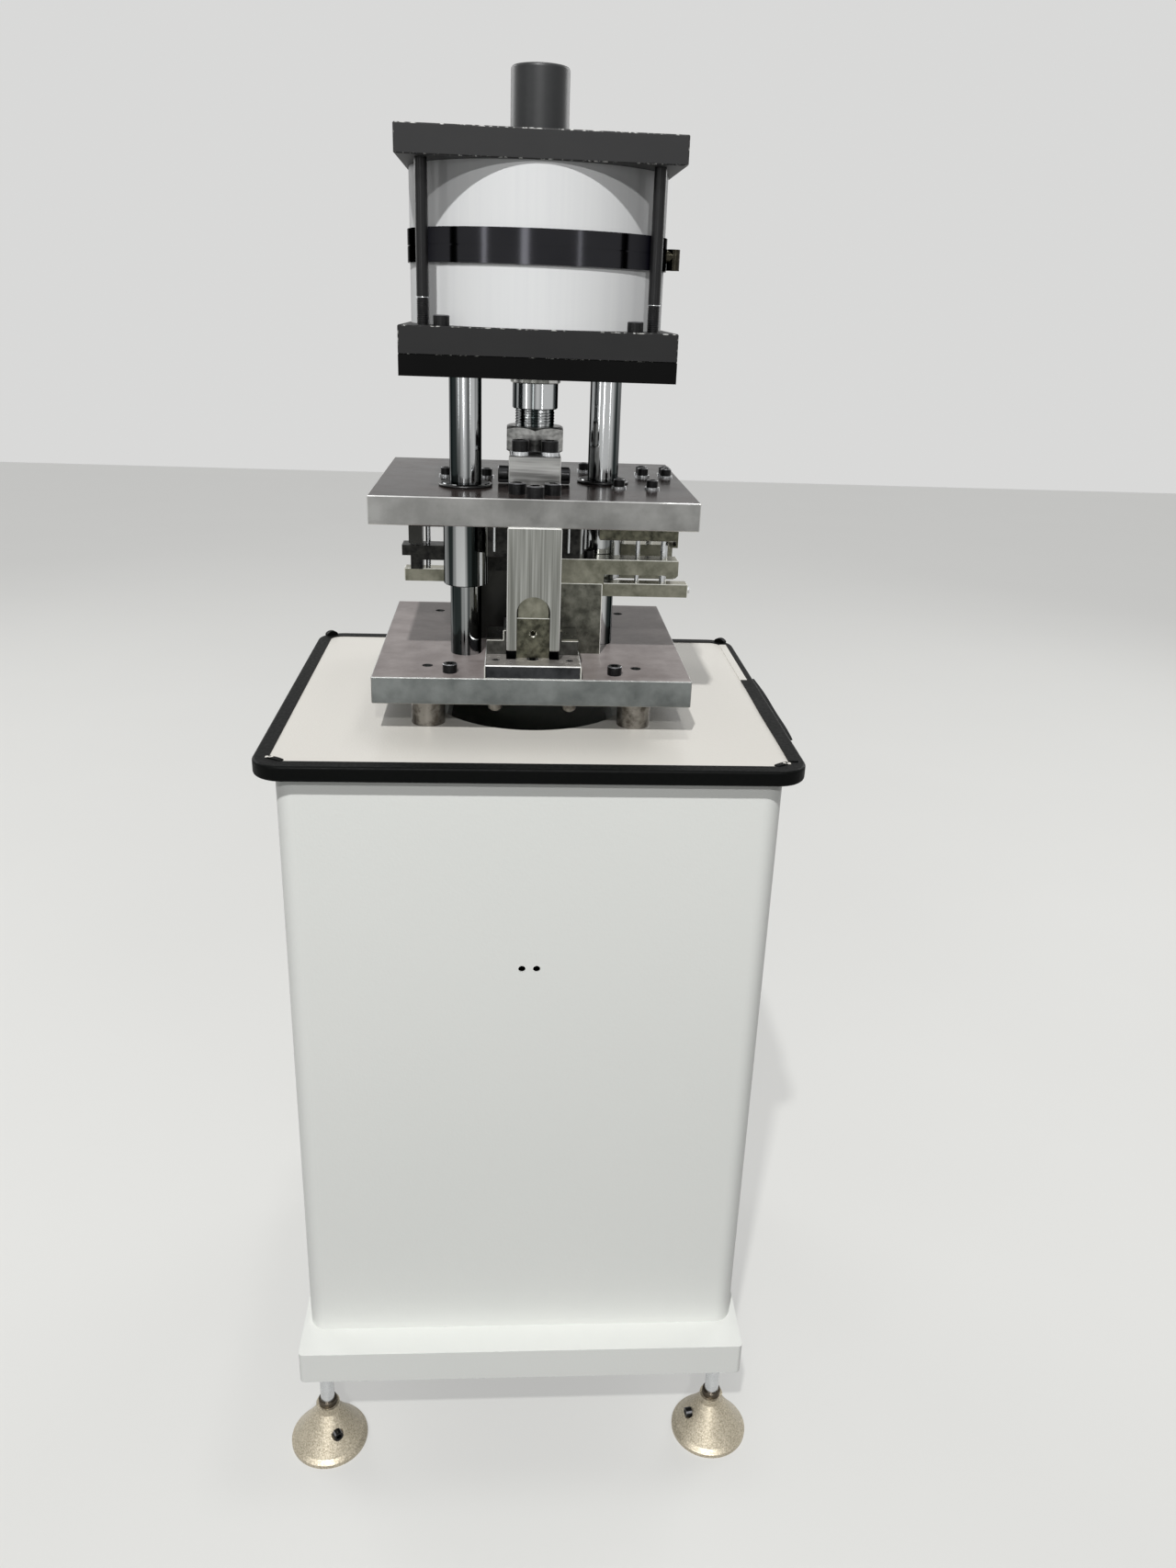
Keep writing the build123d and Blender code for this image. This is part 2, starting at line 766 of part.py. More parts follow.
bolt_top = lower_plate_bottom + spacer_bolt_engagement
spacer_bolt = cap_screw(spacer_bolt_thread, bolt_top - bearer_bottom)
with BuildPart() as die_set_bolts:
    with Locations(*[Location((x, y, bearer_bottom), (180, 0, 0)) for x, y in spacer_places]):
        add(spacer_bolt)
finish(die_set_bolts, "die_set_bolts")

# Screws and washers under and over the side tools
block_screw_places = [
    (tool.side * x, tool.y) for tool in side_tools for x in (block_screw_near, block_screw_far)
]
guide_screw_places = [
    (tool.side * x, tool.y) for tool in side_tools for x in (guide_screw_near, guide_screw_far)
]
front_screw_y = lower_plate_front + front_screw_inset
front_screw_places = [(-front_screw_x, front_screw_y), (front_screw_x, front_screw_y)]
clamp_screw_y = lower_plate_front + clamp_screw_inset
clamp_screw_places = [(-clamp_screw_x, clamp_screw_y), (clamp_screw_x, clamp_screw_y)]
slug_windows = [
    (side * (notch_slot_width / 2 + slug_window_width / 2), upper_plate_front + notch_block_depth / 2)
    for side in (-1, 1)
]
screw_head = tool_screw_thread
head_pocket = head_radius(tool_screw_thread) + screw_gap

# Lower die plate: ground steel with the post sockets, threads, slug windows and screw pockets
with BuildPart() as lower_die_plate:
    with BuildSketch(Plane.XY.offset(lower_plate_bottom)):
        with Locations((0, die_y)):
            Rectangle(plate_width, lower_plate_depth)
    extrude(amount=lower_plate_thickness)
    chamfer(lower_die_plate.edges(), edge_break)
    with BuildSketch(Plane.XY.offset(lower_plate_bottom)):
        with Locations(*post_places):
            Circle(post_diameter / 2)
        with Locations(*spacer_places):
            Circle(spacer_bolt_thread / 2)
        with Locations(*clamp_screw_places):
            Circle(clamp_screw_thread / 2)
        with Locations(*front_screw_places):
            Circle(front_screw_thread / 2 + screw_gap)
        with Locations(*block_screw_places):
            Circle(tool_screw_thread / 2 + screw_gap)
        with Locations(*slug_windows):
            Rectangle(slug_window_width, slug_window_depth)
    extrude(amount=lower_plate_thickness, mode=Mode.SUBTRACT)
    with BuildSketch(Plane.XY.offset(lower_plate_bottom)):
        with Locations(*block_screw_places):
            Circle(head_pocket)
    extrude(amount=screw_head + screw_gap, mode=Mode.SUBTRACT)
    with BuildSketch(Plane.XY.offset(lower_plate_bottom)):
        with Locations(*front_screw_places):
            Circle(head_pocket)
    extrude(amount=front_screw_thread - front_screw_shown, mode=Mode.SUBTRACT)
finish(lower_die_plate, "lower_die_plate")

front_screw_seat = lower_plate_bottom + front_screw_thread - front_screw_shown
block_screw_seat = lower_plate_bottom + screw_head + screw_gap
front_screw = cap_screw(front_screw_thread, front_base_top - screw_gap - front_screw_seat)
block_screw = cap_screw(tool_screw_thread, lower_plate_top + screw_engagement - block_screw_seat)
clamp_screw = cap_screw(clamp_screw_thread, clamp_screw_length)
with BuildPart() as lower_plate_screws:
    with Locations(*[Location((x, y, front_screw_seat), (180, 0, 0)) for x, y in front_screw_places]):
        add(front_screw)
    with Locations(*[Location((x, y, block_screw_seat), (180, 0, 0)) for x, y in block_screw_places]):
        add(block_screw)
    with Locations(*[(x, y, lower_plate_top) for x, y in clamp_screw_places]):
        add(clamp_screw)
finish(lower_plate_screws, "lower_plate_screws")

# Guide posts: from the lower plate's sockets up into the adapter plate
post_top = adapter_bottom + post_socket
with BuildPart() as guide_posts:
    with BuildSketch(Plane.XY.offset(lower_plate_bottom)):
        with Locations(*post_places):
            Circle(post_diameter / 2)
    extrude(amount=post_top - lower_plate_bottom)
    chamfer(guide_posts.edges().group_by(Axis.Z)[0], edge_break)
    with BuildSketch(Plane.XY.offset(post_top - post_screw_depth)):
        with Locations(*post_places):
            Circle(post_screw_thread / 2)
    extrude(amount=post_screw_depth, mode=Mode.SUBTRACT)
finish(guide_posts, "guide_posts")

# Front notching tool: base, anvil and the inverted T round it, open in front for the punch legs
with BuildPart() as front_die_base:
    with BuildSketch(Plane.XY.offset(lower_plate_top)):
        with Locations((0, front_base_y)):
            Rectangle(front_base_width, front_base_depth)
    extrude(amount=front_base_thickness)
    chamfer(front_die_base.edges(), edge_break)
    with BuildSketch(Plane.XY.offset(lower_plate_top)):
        with Locations(*front_screw_places):
            Circle(front_screw_thread / 2)
        with Locations((0, lower_plate_front + key_hole_inset)):
            Circle(key_hole_diameter / 2)
        with Locations(*slug_windows):
            Rectangle(slug_window_width, slug_window_depth)
    extrude(amount=front_base_thickness, mode=Mode.SUBTRACT)
finish(front_die_base, "front_die_base")

anvil_width = notch_slot_width - 2 * anvil_side_gap
anvil_back = front_base_back - holder_web
anvil_plane = Plane(
    (0, anvil_front, front_base_top + anvil_screw_height), x_dir=(1, 0, 0), z_dir=(0, 1, 0)
)
with BuildPart() as notching_anvil:
    with BuildSketch(Plane.XY.offset(front_base_top)):
        with Locations((0, (anvil_front + anvil_back) / 2)):
            Rectangle(anvil_width, anvil_back - anvil_front)
    extrude(amount=anvil_height)
    with BuildSketch(anvil_plane):
        Circle(anvil_screw_diameter / 2)
    extrude(amount=anvil_screw_depth, mode=Mode.SUBTRACT)
    with BuildSketch(anvil_plane):
        Circle(anvil_screw_diameter / 2 + edge_break)
    extrude(amount=edge_break, taper=45, mode=Mode.SUBTRACT)
finish(notching_anvil, "notching_anvil")

foot_half = holder_foot_width / 2
step_half = holder_step_width / 2
holder_front = front_base_back - holder_depth
holder_slot_back = notch_block_back + holder_gap
with BuildPart() as anvil_holder:
    with BuildSketch(Plane.XZ.offset(-front_base_back)):
        with BuildLine():
            Polyline(
                (-foot_half, front_base_top),
                (foot_half, front_base_top),
                (foot_half, front_base_top + holder_foot_height),
                (step_half, front_base_top + holder_foot_height),
                (step_half, front_base_top + holder_foot_height + holder_step_height),
                (-step_half, front_base_top + holder_foot_height + holder_step_height),
                (-step_half, front_base_top + holder_foot_height),
                (-foot_half, front_base_top + holder_foot_height),
                close=True,
            )
        make_face()
    extrude(amount=holder_depth)
    with BuildSketch(Plane.XY.offset(front_base_top)):
        with Locations((0, (holder_front + anvil_back) / 2)):
            Rectangle(anvil_width, anvil_back - holder_front)
        with Locations((0, (holder_front + holder_slot_back) / 2)):
            Rectangle(notch_block_width + 2 * holder_gap, holder_slot_back - holder_front)
    extrude(amount=holder_foot_height + holder_step_height, mode=Mode.SUBTRACT)
finish(anvil_holder, "anvil_holder")

# Side punching tools: a block, a die bar, a guide plate over it and a punch holder on the ram
with BuildPart() as side_tool_blocks:
    for tool in side_tools:
        with BuildSketch(Plane.XY.offset(lower_plate_top)):
            with Locations((tool.side * (tool_inner_x + tool_block_x) / 2, tool.y)):
                Rectangle(tool_block_x - tool_inner_x, tool.depth)
        extrude(amount=tool_block_height)
    chamfer(side_tool_blocks.edges().filter_by(Axis.Z), edge_break / 2)
    for tool in side_tools:
        with BuildSketch(Plane.XY.offset(die_bar_bottom)):
            with Locations((tool.side * (tool_block_x - die_bar_tongue / 2), tool.y)):
                Rectangle(die_bar_tongue, tool.depth - 2 * die_bar_margin)
        extrude(amount=die_bar_thickness, mode=Mode.SUBTRACT)
    with BuildSketch(Plane.XY.offset(block_top - screw_engagement)):
        with Locations(*guide_screw_places):
            Circle(tool_screw_thread / 2)
    extrude(amount=screw_engagement, mode=Mode.SUBTRACT)
    with BuildSketch(Plane.XY.offset(lower_plate_top)):
        with Locations(*block_screw_places):
            Circle(tool_screw_thread / 2)
    extrude(amount=screw_engagement, mode=Mode.SUBTRACT)
finish(side_tool_blocks, "side_tool_blocks")

bar_start = tool_block_x - die_bar_tongue
with BuildPart() as side_die_bars:
    for tool in side_tools:
        with BuildSketch(Plane.XY.offset(die_bar_bottom)):
            with Locations((tool.side * (bar_start + tool.bar_reach) / 2, tool.y)):
                Rectangle(tool.bar_reach - bar_start, tool.depth - 2 * die_bar_margin)
        extrude(amount=die_bar_thickness)
        for x, diameter in tool.punches:
            with BuildSketch(Plane.XY.offset(die_bar_bottom)):
                with Locations((tool.side * x, tool.y)):
                    Circle(diameter / 2 + die_clearance)
            extrude(amount=die_bar_thickness, mode=Mode.SUBTRACT)
            with BuildSketch(Plane.XY.offset(die_bar_bottom)):
                with Locations((tool.side * x, tool.y)):
                    Circle(diameter / 2 + slug_relief)
            extrude(amount=die_bar_thickness - die_land, mode=Mode.SUBTRACT)
    for end in (side_die_bars.faces().sort_by(Axis.X)[0], side_die_bars.faces().sort_by(Axis.X)[-1]):
        chamfer(end.edges(), edge_break)
    with BuildSketch(Plane.YZ.offset(right_front_bar_reach)):
        with Locations((right_front_y, die_bar_bottom + die_bar_thickness / 2)):
            Circle(bar_screw_diameter / 2)
    extrude(amount=-screw_engagement, mode=Mode.SUBTRACT)
finish(side_die_bars, "side_die_bars")

with BuildPart() as die_bar_screw:
    with BuildSketch(Plane.YZ.offset(right_front_bar_reach - screw_engagement)):
        with Locations((right_front_y, die_bar_bottom + die_bar_thickness / 2)):
            Circle(bar_screw_diameter / 2)
    extrude(amount=screw_engagement)
    with BuildSketch(Plane.YZ.offset(right_front_bar_reach)):
        with Locations((right_front_y, die_bar_bottom + die_bar_thickness / 2)):
            RegularPolygon(bar_screw_diameter * 0.8, 6, major_radius=False)
    extrude(amount=bar_screw_shown)
finish(die_bar_screw, "die_bar_screw")

shoulder_x = tool_block_x + guide_shoulder


def guide_plate(tool, tip):
    """A stepped guide plate: full height on its block, raised by the profile gap beyond it.

    tip holds the outline's points from the far end of the overhang, bottom first.
    """
    outline = [(tool_inner_x, guide_top), (tool_inner_x, block_top), (shoulder_x, block_top)]
    outline += [(shoulder_x, overhang_bottom)] + tip
    with BuildPart() as plate:
        with BuildSketch(Plane.XZ.offset(-tool.y)):
            Polygon(*[(tool.side * x, z) for x, z in outline], align=None)
        extrude(amount=tool.depth / 2, both=True)
        with BuildSketch(Plane.XY.offset(block_top)):
            with Locations(
                (tool.side * guide_screw_near, tool.y), (tool.side * guide_screw_far, tool.y)
            ):
                Circle(tool_screw_thread / 2 + screw_gap)
            for x, diameter in tool.punches:
                with Locations((tool.side * x, tool.y)):
                    Circle(diameter / 2 + running_gap)
        extrude(amount=guide_thickness, mode=Mode.SUBTRACT)
    return plate


right_front_guide_plate = guide_plate(
    right_front_tool,
    [
        (right_front_guide_reach - lug_length, overhang_bottom),
        (right_front_guide_reach - lug_length + lug_drop, overhang_bottom - lug_drop),
        (right_front_guide_reach - lug_drop, overhang_bottom - lug_drop),
        (right_front_guide_reach, overhang_bottom),
        (right_front_guide_reach, guide_top - edge_break),
        (right_front_guide_reach - edge_break, guide_top),
    ],
)
finish(right_front_guide_plate, "right_front_guide_plate")

left_guide_plate = guide_plate(
    left_tool,
    [
        (left_stop_inner, overhang_bottom),
        (left_stop_inner, block_top),
        (left_stop_outer, block_top),
        (left_stop_outer, guide_top - left_lug_thickness),
        (left_guide_reach, guide_top - left_lug_thickness),
        (left_guide_reach, guide_top),
    ],
)
finish(left_guide_plate, "left_guide_plate")

right_rear_guide_plate = guide_plate(
    right_rear_tool,
    [(right_rear_guide_reach, overhang_bottom), (right_rear_guide_reach, guide_top)],
)
finish(right_rear_guide_plate, "right_rear_guide_plate")

guide_screw = cap_screw(tool_screw_thread, guide_thickness + screw_engagement)
with BuildPart() as guide_plate_screws:
    with Locations(*[(x, y, guide_top) for x, y in guide_screw_places]):
        add(guide_screw)
finish(guide_plate_screws, "guide_plate_screws")


def punch_holder(tool, span, screws):
    """A block under the upper plate that takes the punches' heads and the screws from above."""
    start, end = span
    with BuildPart() as holder:
        with BuildSketch(Plane.XY.offset(holder_bottom)):
            with Locations((tool.side * (start + end) / 2, tool.y)):
                Rectangle(end - start, tool.depth)
        extrude(amount=punch_holder_thickness)
        chamfer(holder.edges().group_by(Axis.Z)[0], edge_break)
        with BuildSketch(Plane.XY.offset(holder_bottom)):
            for x, diameter in tool.punches:
                with Locations((tool.side * x, tool.y)):
                    Circle(diameter / 2)
        extrude(amount=punch_holder_thickness, mode=Mode.SUBTRACT)
        with BuildSketch(Plane.XY.offset(upper_plate_bottom)):
            for x, diameter in tool.punches:
                with Locations((tool.side * x, tool.y)):
                    Circle(diameter / 2 + punch_head_extra)
        extrude(amount=-punch_head_height, mode=Mode.SUBTRACT)
        with BuildSketch(Plane.XY.offset(upper_plate_bottom)):
            with Locations(*screws):
                Circle(tool_screw_thread / 2)
        extrude(amount=-screw_engagement, mode=Mode.SUBTRACT)
    return holder


right_front_holder_block = punch_holder(right_front_tool, right_front_holder, right_front_screws)
end_plate_x = right_front_holder[1]
end_plate_bottom = upper_plate_bottom - end_plate_drop
with BuildPart() as right_front_punch_holder:
    add(right_front_holder_block.part)
    with BuildSketch(Plane.XZ.offset(-right_front_y)):
        Polygon(
            (end_plate_x, holder_bottom + edge_break),
            (end_plate_x, end_plate_bottom + end_plate_thickness),
            (end_plate_x - end_plate_foot, end_plate_bottom + end_plate_thickness),
            (end_plate_x - end_plate_foot, end_plate_bottom),
            (end_plate_x + end_plate_thickness, end_plate_bottom),
            (end_plate_x + end_plate_thickness, upper_plate_bottom),
            (end_plate_x, upper_plate_bottom),
            align=None,
        )
    extrude(amount=right_front_depth / 2 - edge_break, both=True)
finish(right_front_punch_holder, "right_front_punch_holder")

left_leg_height = holder_bottom - guide_top - left_leg_bottom
left_holder_block = punch_holder(left_tool, left_holder, left_screws)
with BuildPart() as left_punch_holder:
    add(left_holder_block.part)
    with BuildSketch(Plane.XY.offset(guide_top + left_leg_bottom)):
        with Locations((-(left_stop_inner + left_holder[1]) / 2, left_y)):
            Rectangle(left_holder[1] - left_stop_inner, left_depth - 2 * edge_break)
    extrude(amount=left_leg_height + edge_break)
finish(left_punch_holder, "left_punch_holder")

right_rear_punch_holder = punch_holder(right_rear_tool, right_rear_holder, right_rear_screws)
finish(right_rear_punch_holder, "right_rear_punch_holder")

with BuildPart() as side_punches:
    for tool in side_tools:
        for x, diameter in tool.punches:
            with BuildSketch(Plane.XY.offset(block_top - die_entry)):
                with Locations((tool.side * x, tool.y)):
                    Circle(diameter / 2)
            extrude(amount=upper_plate_bottom - block_top + die_entry)
            with BuildSketch(Plane.XY.offset(upper_plate_bottom)):
                with Locations((tool.side * x, tool.y)):
                    Circle(diameter / 2 + punch_head_extra)
            extrude(amount=-punch_head_height)
finish(side_punches, "side_punches")

# Arch punch block, its backing block and the two thin pins beside it
notch_screw_y = upper_plate_front + notch_screw_inset
notch_screw_places = [
    (-notch_screw_x, notch_screw_y),
    (notch_screw_x, notch_screw_y),
    (0, notch_screw_y - notch_screw_lead),
]
notch_block_bottom = front_base_top + notch_block_gap
arch_spring = notch_block_bottom + notch_slot_spring
notch_half = notch_slot_width / 2
with BuildPart() as notch_punch_block:
    with BuildSketch(Plane.XY.offset(notch_block_bottom)):
        with Locations((0, upper_plate_front + notch_block_depth / 2)):
            Rectangle(notch_block_width, notch_block_depth)
    extrude(amount=upper_plate_bottom - notch_block_bottom)
    chamfer(notch_punch_block.edges(), edge_break)
    with BuildSketch(Plane.XZ.offset(-notch_block_back)):
        with BuildLine():
            Line((notch_half, arch_spring), (notch_half, notch_block_bottom))
            Line((notch_half, notch_block_bottom), (-notch_half, notch_block_bottom))
            Line((-notch_half, notch_block_bottom), (-notch_half, arch_spring))
            ThreePointArc(
                (-notch_half, arch_spring), (0, arch_spring + notch_half), (notch_half, arch_spring)
            )
        make_face()
    extrude(amount=notch_block_depth, mode=Mode.SUBTRACT)
    with BuildSketch(Plane.XY.offset(upper_plate_bottom)):
        with Locations(*notch_screw_places):
            Circle(notch_screw_thread / 2)
    extrude(amount=-screw_engagement, mode=Mode.SUBTRACT)
finish(notch_punch_block, "notch_punch_block")

backer_y = notch_block_back + backer_depth / 2
backer_bottom = upper_plate_bottom - backer_height
backer_screw_places = [(-backer_screw_x, backer_y), (backer_screw_x, backer_y)]
with BuildPart() as punch_backing_block:
    with BuildSketch(Plane.XY.offset(backer_bottom)):
        with Locations((0, backer_y)):
            Rectangle(backer_width, backer_depth)
    extrude(amount=backer_height)
    chamfer(punch_backing_block.edges(), edge_break)
    with BuildSketch(Plane.XY.offset(backer_bottom)):
        with Locations(*backer_screw_places):
            Circle(tool_screw_thread / 2 + screw_gap)
    extrude(amount=backer_height, mode=Mode.SUBTRACT)
    with BuildSketch(Plane.XY.offset(backer_bottom)):
        with Locations(*backer_screw_places):
            Circle(head_pocket)
    extrude(amount=screw_head + screw_gap, mode=Mode.SUBTRACT)
finish(punch_backing_block, "punch_backing_block")

pin_places = [(pin_left_x, notch_block_back - pin_lead), (pin_right_x, notch_block_back - pin_lead)]
with BuildPart() as centring_pins:
    with BuildSketch(Plane.XY.offset(upper_plate_bottom - pin_drop)):
        with Locations(*pin_places):
            Circle(pin_diameter / 2)
    extrude(amount=pin_drop + pin_grip)
finish(centring_pins, "centring_pins")

# Upper die plate and its plain guide bushes
holder_screw_places = right_front_screws + left_screws + right_rear_screws
coupling_screw_places = [
    (sx * coupling_screw_x, ram_y + sy * coupling_screw_y) for sx in (-1, 1) for sy in (-1, 1)
]
with BuildPart() as upper_die_plate:
    with BuildSketch(Plane.XY.offset(upper_plate_bottom)):
        with Locations((0, upper_plate_y)):
            Rectangle(plate_width, upper_plate_depth)
    extrude(amount=upper_plate_thickness)
    chamfer(upper_die_plate.edges(), edge_break)
    with BuildSketch(Plane.XY.offset(upper_plate_bottom)):
        with Locations(*post_places):
            Circle(bush_diameter / 2)
        with Locations(*notch_screw_places):
            Circle(notch_screw_thread / 2 + screw_gap)
        with Locations(*holder_screw_places):
            Circle(tool_screw_thread / 2 + screw_gap)
    extrude(amount=upper_plate_thickness, mode=Mode.SUBTRACT)
    with BuildSketch(Plane.XY.offset(upper_plate_top)):
        with Locations(*coupling_screw_places):
            Circle(coupling_screw_thread / 2)
    extrude(amount=-screw_engagement, mode=Mode.SUBTRACT)
    with BuildSketch(Plane.XY.offset(upper_plate_bottom)):
        with Locations(*backer_screw_places):
            Circle(tool_screw_thread / 2)
    extrude(amount=screw_engagement, mode=Mode.SUBTRACT)
    with BuildSketch(Plane.XY.offset(upper_plate_bottom)):
        with Locations(*pin_places):
            Circle(pin_diameter / 2)
    extrude(amount=pin_grip, mode=Mode.SUBTRACT)
finish(upper_die_plate, "upper_die_plate")

with BuildPart() as guide_bushes:
    with BuildSketch(Plane.XY.offset(upper_plate_bottom - bush_drop)):
        with Locations(*post_places):
            Circle(bush_diameter / 2)
    extrude(amount=bush_drop + upper_plate_thickness)
    chamfer(guide_bushes.edges().group_by(Axis.Z)[0], edge_break)
    with BuildSketch(Plane.XY.offset(upper_plate_top)):
        with Locations(*post_places):
            Circle(bush_flange_diameter / 2)
    extrude(amount=bush_flange)
    chamfer(guide_bushes.edges().group_by(Axis.Z)[-1], edge_break)
    with BuildSketch(Plane.XY.offset(upper_plate_bottom - bush_drop)):
        with Locations(*post_places):
            Circle(post_diameter / 2 + running_gap)
    extrude(amount=bush_drop + upper_plate_thickness + bush_flange, mode=Mode.SUBTRACT)
finish(guide_bushes, "guide_bushes")

# Coupling between the rod and the upper plate
clamp_z = upper_plate_top + rod_clamp_height
clamp_plane = Plane((0, ram_y, clamp_z), x_dir=(0, 1, 0), z_dir=(1, 0, 0))
with BuildPart() as coupling_block:
    with BuildSketch(Plane.XY.offset(upper_plate_top)):
        with Locations((0, ram_y)):
            Rectangle(coupling_width, coupling_depth)
    extrude(amount=coupling_height)
    chamfer(coupling_block.edges(), edge_break)
    with BuildSketch(Plane.XY.offset(upper_plate_top)):
        with Locations((0, ram_y)):
            Circle(rod_thread_diameter / 2)
        with Locations(*coupling_screw_places):
            Circle(coupling_screw_thread / 2 + screw_gap)
    extrude(amount=coupling_height, mode=Mode.SUBTRACT)
    with BuildSketch(clamp_plane):
        Circle(coupling_screw_thread / 2)
    extrude(amount=coupling_width / 2, both=True, mode=Mode.SUBTRACT)
finish(coupling_block, "coupling_block")

coupling_seat = coupling_top + coupling_washer_thickness
holder_seat = upper_plate_top + tool_washer_thickness
backer_seat = backer_bottom + screw_head + screw_gap
coupling_screw = cap_screw(coupling_screw_thread, coupling_seat - upper_plate_top + screw_engagement)
notch_screw = cap_screw(notch_screw_thread, upper_plate_thickness + screw_engagement)
holder_screw = cap_screw(tool_screw_thread, holder_seat - upper_plate_bottom + screw_engagement)
backer_screw = cap_screw(tool_screw_thread, upper_plate_bottom + screw_engagement - backer_seat)
rod_clamp_screw = cap_screw(coupling_screw_thread, (coupling_width - rod_thread_diameter) / 2)
with BuildPart() as upper_plate_screws:
    with Locations(*[(x, y, coupling_seat) for x, y in coupling_screw_places]):
        add(coupling_screw)
    with Locations(*[(x, y, upper_plate_top) for x, y in notch_screw_places]):
        add(notch_screw)
    with Locations(*[(x, y, holder_seat) for x, y in holder_screw_places]):
        add(holder_screw)
    with Locations(*[Location((x, y, backer_seat), (180, 0, 0)) for x, y in backer_screw_places]):
        add(backer_screw)
    with Locations(
        Location((coupling_width / 2, ram_y, clamp_z), (0, 90, 0)),
        Location((-coupling_width / 2, ram_y, clamp_z), (0, -90, 0)),
    ):
        add(rod_clamp_screw)
finish(upper_plate_screws, "upper_plate_screws")

with BuildPart() as screw_washers:
    with BuildSketch(Plane.XY.offset(coupling_top)):
        with Locations(*coupling_screw_places):
            Circle(coupling_washer_diameter / 2)
            Circle(coupling_screw_thread / 2, mode=Mode.SUBTRACT)
    extrude(amount=coupling_washer_thickness)
    with BuildSketch(Plane.XY.offset(upper_plate_top)):
        with Locations(*holder_screw_places):
            Circle(tool_washer_diameter / 2)
            Circle(tool_screw_thread / 2, mode=Mode.SUBTRACT)
    extrude(amount=tool_washer_thickness)
finish(screw_washers, "screw_washers")

# Piston rod: thread in the coupling, ground shank, neck through both pistons, tail through the head
rod_axis_plane = Plane.XZ.offset(-ram_y)
rod_axis = Axis((0, ram_y, 0), (0, 0, 1))
rod_bottom = upper_plate_top + rod_end_gap
rod_shoulder = adapter_bottom - rod_shoulder_drop
neck_top = upper_piston_bottom + piston_thickness + piston_nut_height
with BuildPart() as piston_rod:
    with BuildSketch(rod_axis_plane):
        Polygon(
            (0, rod_bottom),
            (rod_thread_diameter / 2 - thread_lead, rod_bottom),
            (rod_thread_diameter / 2, rod_bottom + thread_lead),
            (rod_thread_diameter / 2, rod_shoulder),
            (rod_diameter / 2 - edge_break, rod_shoulder),
            (rod_diameter / 2, rod_shoulder + edge_break),
            (rod_diameter / 2, lower_piston_bottom),
            (rod_neck_diameter / 2, lower_piston_bottom),
            (rod_neck_diameter / 2, neck_top),
            (tail_diameter / 2, neck_top),
            (tail_diameter / 2, tail_top - thread_lead),
            (tail_diameter / 2 - thread_lead, tail_top),
            (0, tail_top),
            align=None,
        )
    revolve(axis=rod_axis)
finish(piston_rod, "piston_rod")

piston_radius = bore_diameter / 2 - body_gap
groove_radius = piston_radius - seal_depth
groove_rise = (piston_thickness - seal_height) / 2
with BuildPart() as pistons:
    for bottom in (lower_piston_bottom, upper_piston_bottom):
        with BuildSketch(rod_axis_plane):
            Polygon(
                (rod_neck_diameter / 2, bottom),
                (piston_radius, bottom),
                (piston_radius, bottom + groove_rise),
                (groove_radius, bottom + groove_rise),
                (groove_radius, bottom + groove_rise + seal_height),
                (piston_radius, bottom + groove_rise + seal_height),
                (piston_radius, bottom + piston_thickness),
                (rod_neck_diameter / 2, bottom + piston_thickness),
                align=None,
            )
        revolve(axis=rod_axis)
finish(pistons, "pistons")

with BuildPart() as piston_seals:
    for bottom in (lower_piston_bottom, upper_piston_bottom):
        with BuildSketch(Plane.XY.offset(bottom + groove_rise)):
            with Locations((0, ram_y)):
                Circle(bore_diameter / 2 - running_gap)
                Circle(groove_radius, mode=Mode.SUBTRACT)
        extrude(amount=seal_height)
finish(piston_seals, "piston_seals")

sleeve_bottom = lower_piston_bottom + piston_thickness
with BuildPart() as distance_sleeve:
    with BuildSketch(Plane.XY.offset(sleeve_bottom)):
        with Locations((0, ram_y)):
            Circle(rod_diameter / 2)
            Circle(rod_neck_diameter / 2, mode=Mode.SUBTRACT)
    extrude(amount=upper_piston_bottom - sleeve_bottom)
finish(distance_sleeve, "distance_sleeve")

lock_nut = hex_nut(lock_nut_across, lock_nut_height, rod_thread_diameter)
piston_nut = hex_nut(piston_nut_across, piston_nut_height, rod_neck_diameter)
stop_nut = hex_nut(tail_nut_across, tail_nut_height, tail_diameter)
with BuildPart() as rod_nuts:
    with Locations((0, ram_y, coupling_top)):
        add(lock_nut)
    with Locations((0, ram_y, upper_piston_bottom + piston_thickness)):
        add(piston_nut)
    with Locations((0, ram_y, stop_nut_bottom)):
        add(stop_nut)
    with Locations((0, ram_y, stop_nut_bottom + tail_nut_height + running_gap)):
        add(stop_nut)
finish(rod_nuts, "rod_nuts")

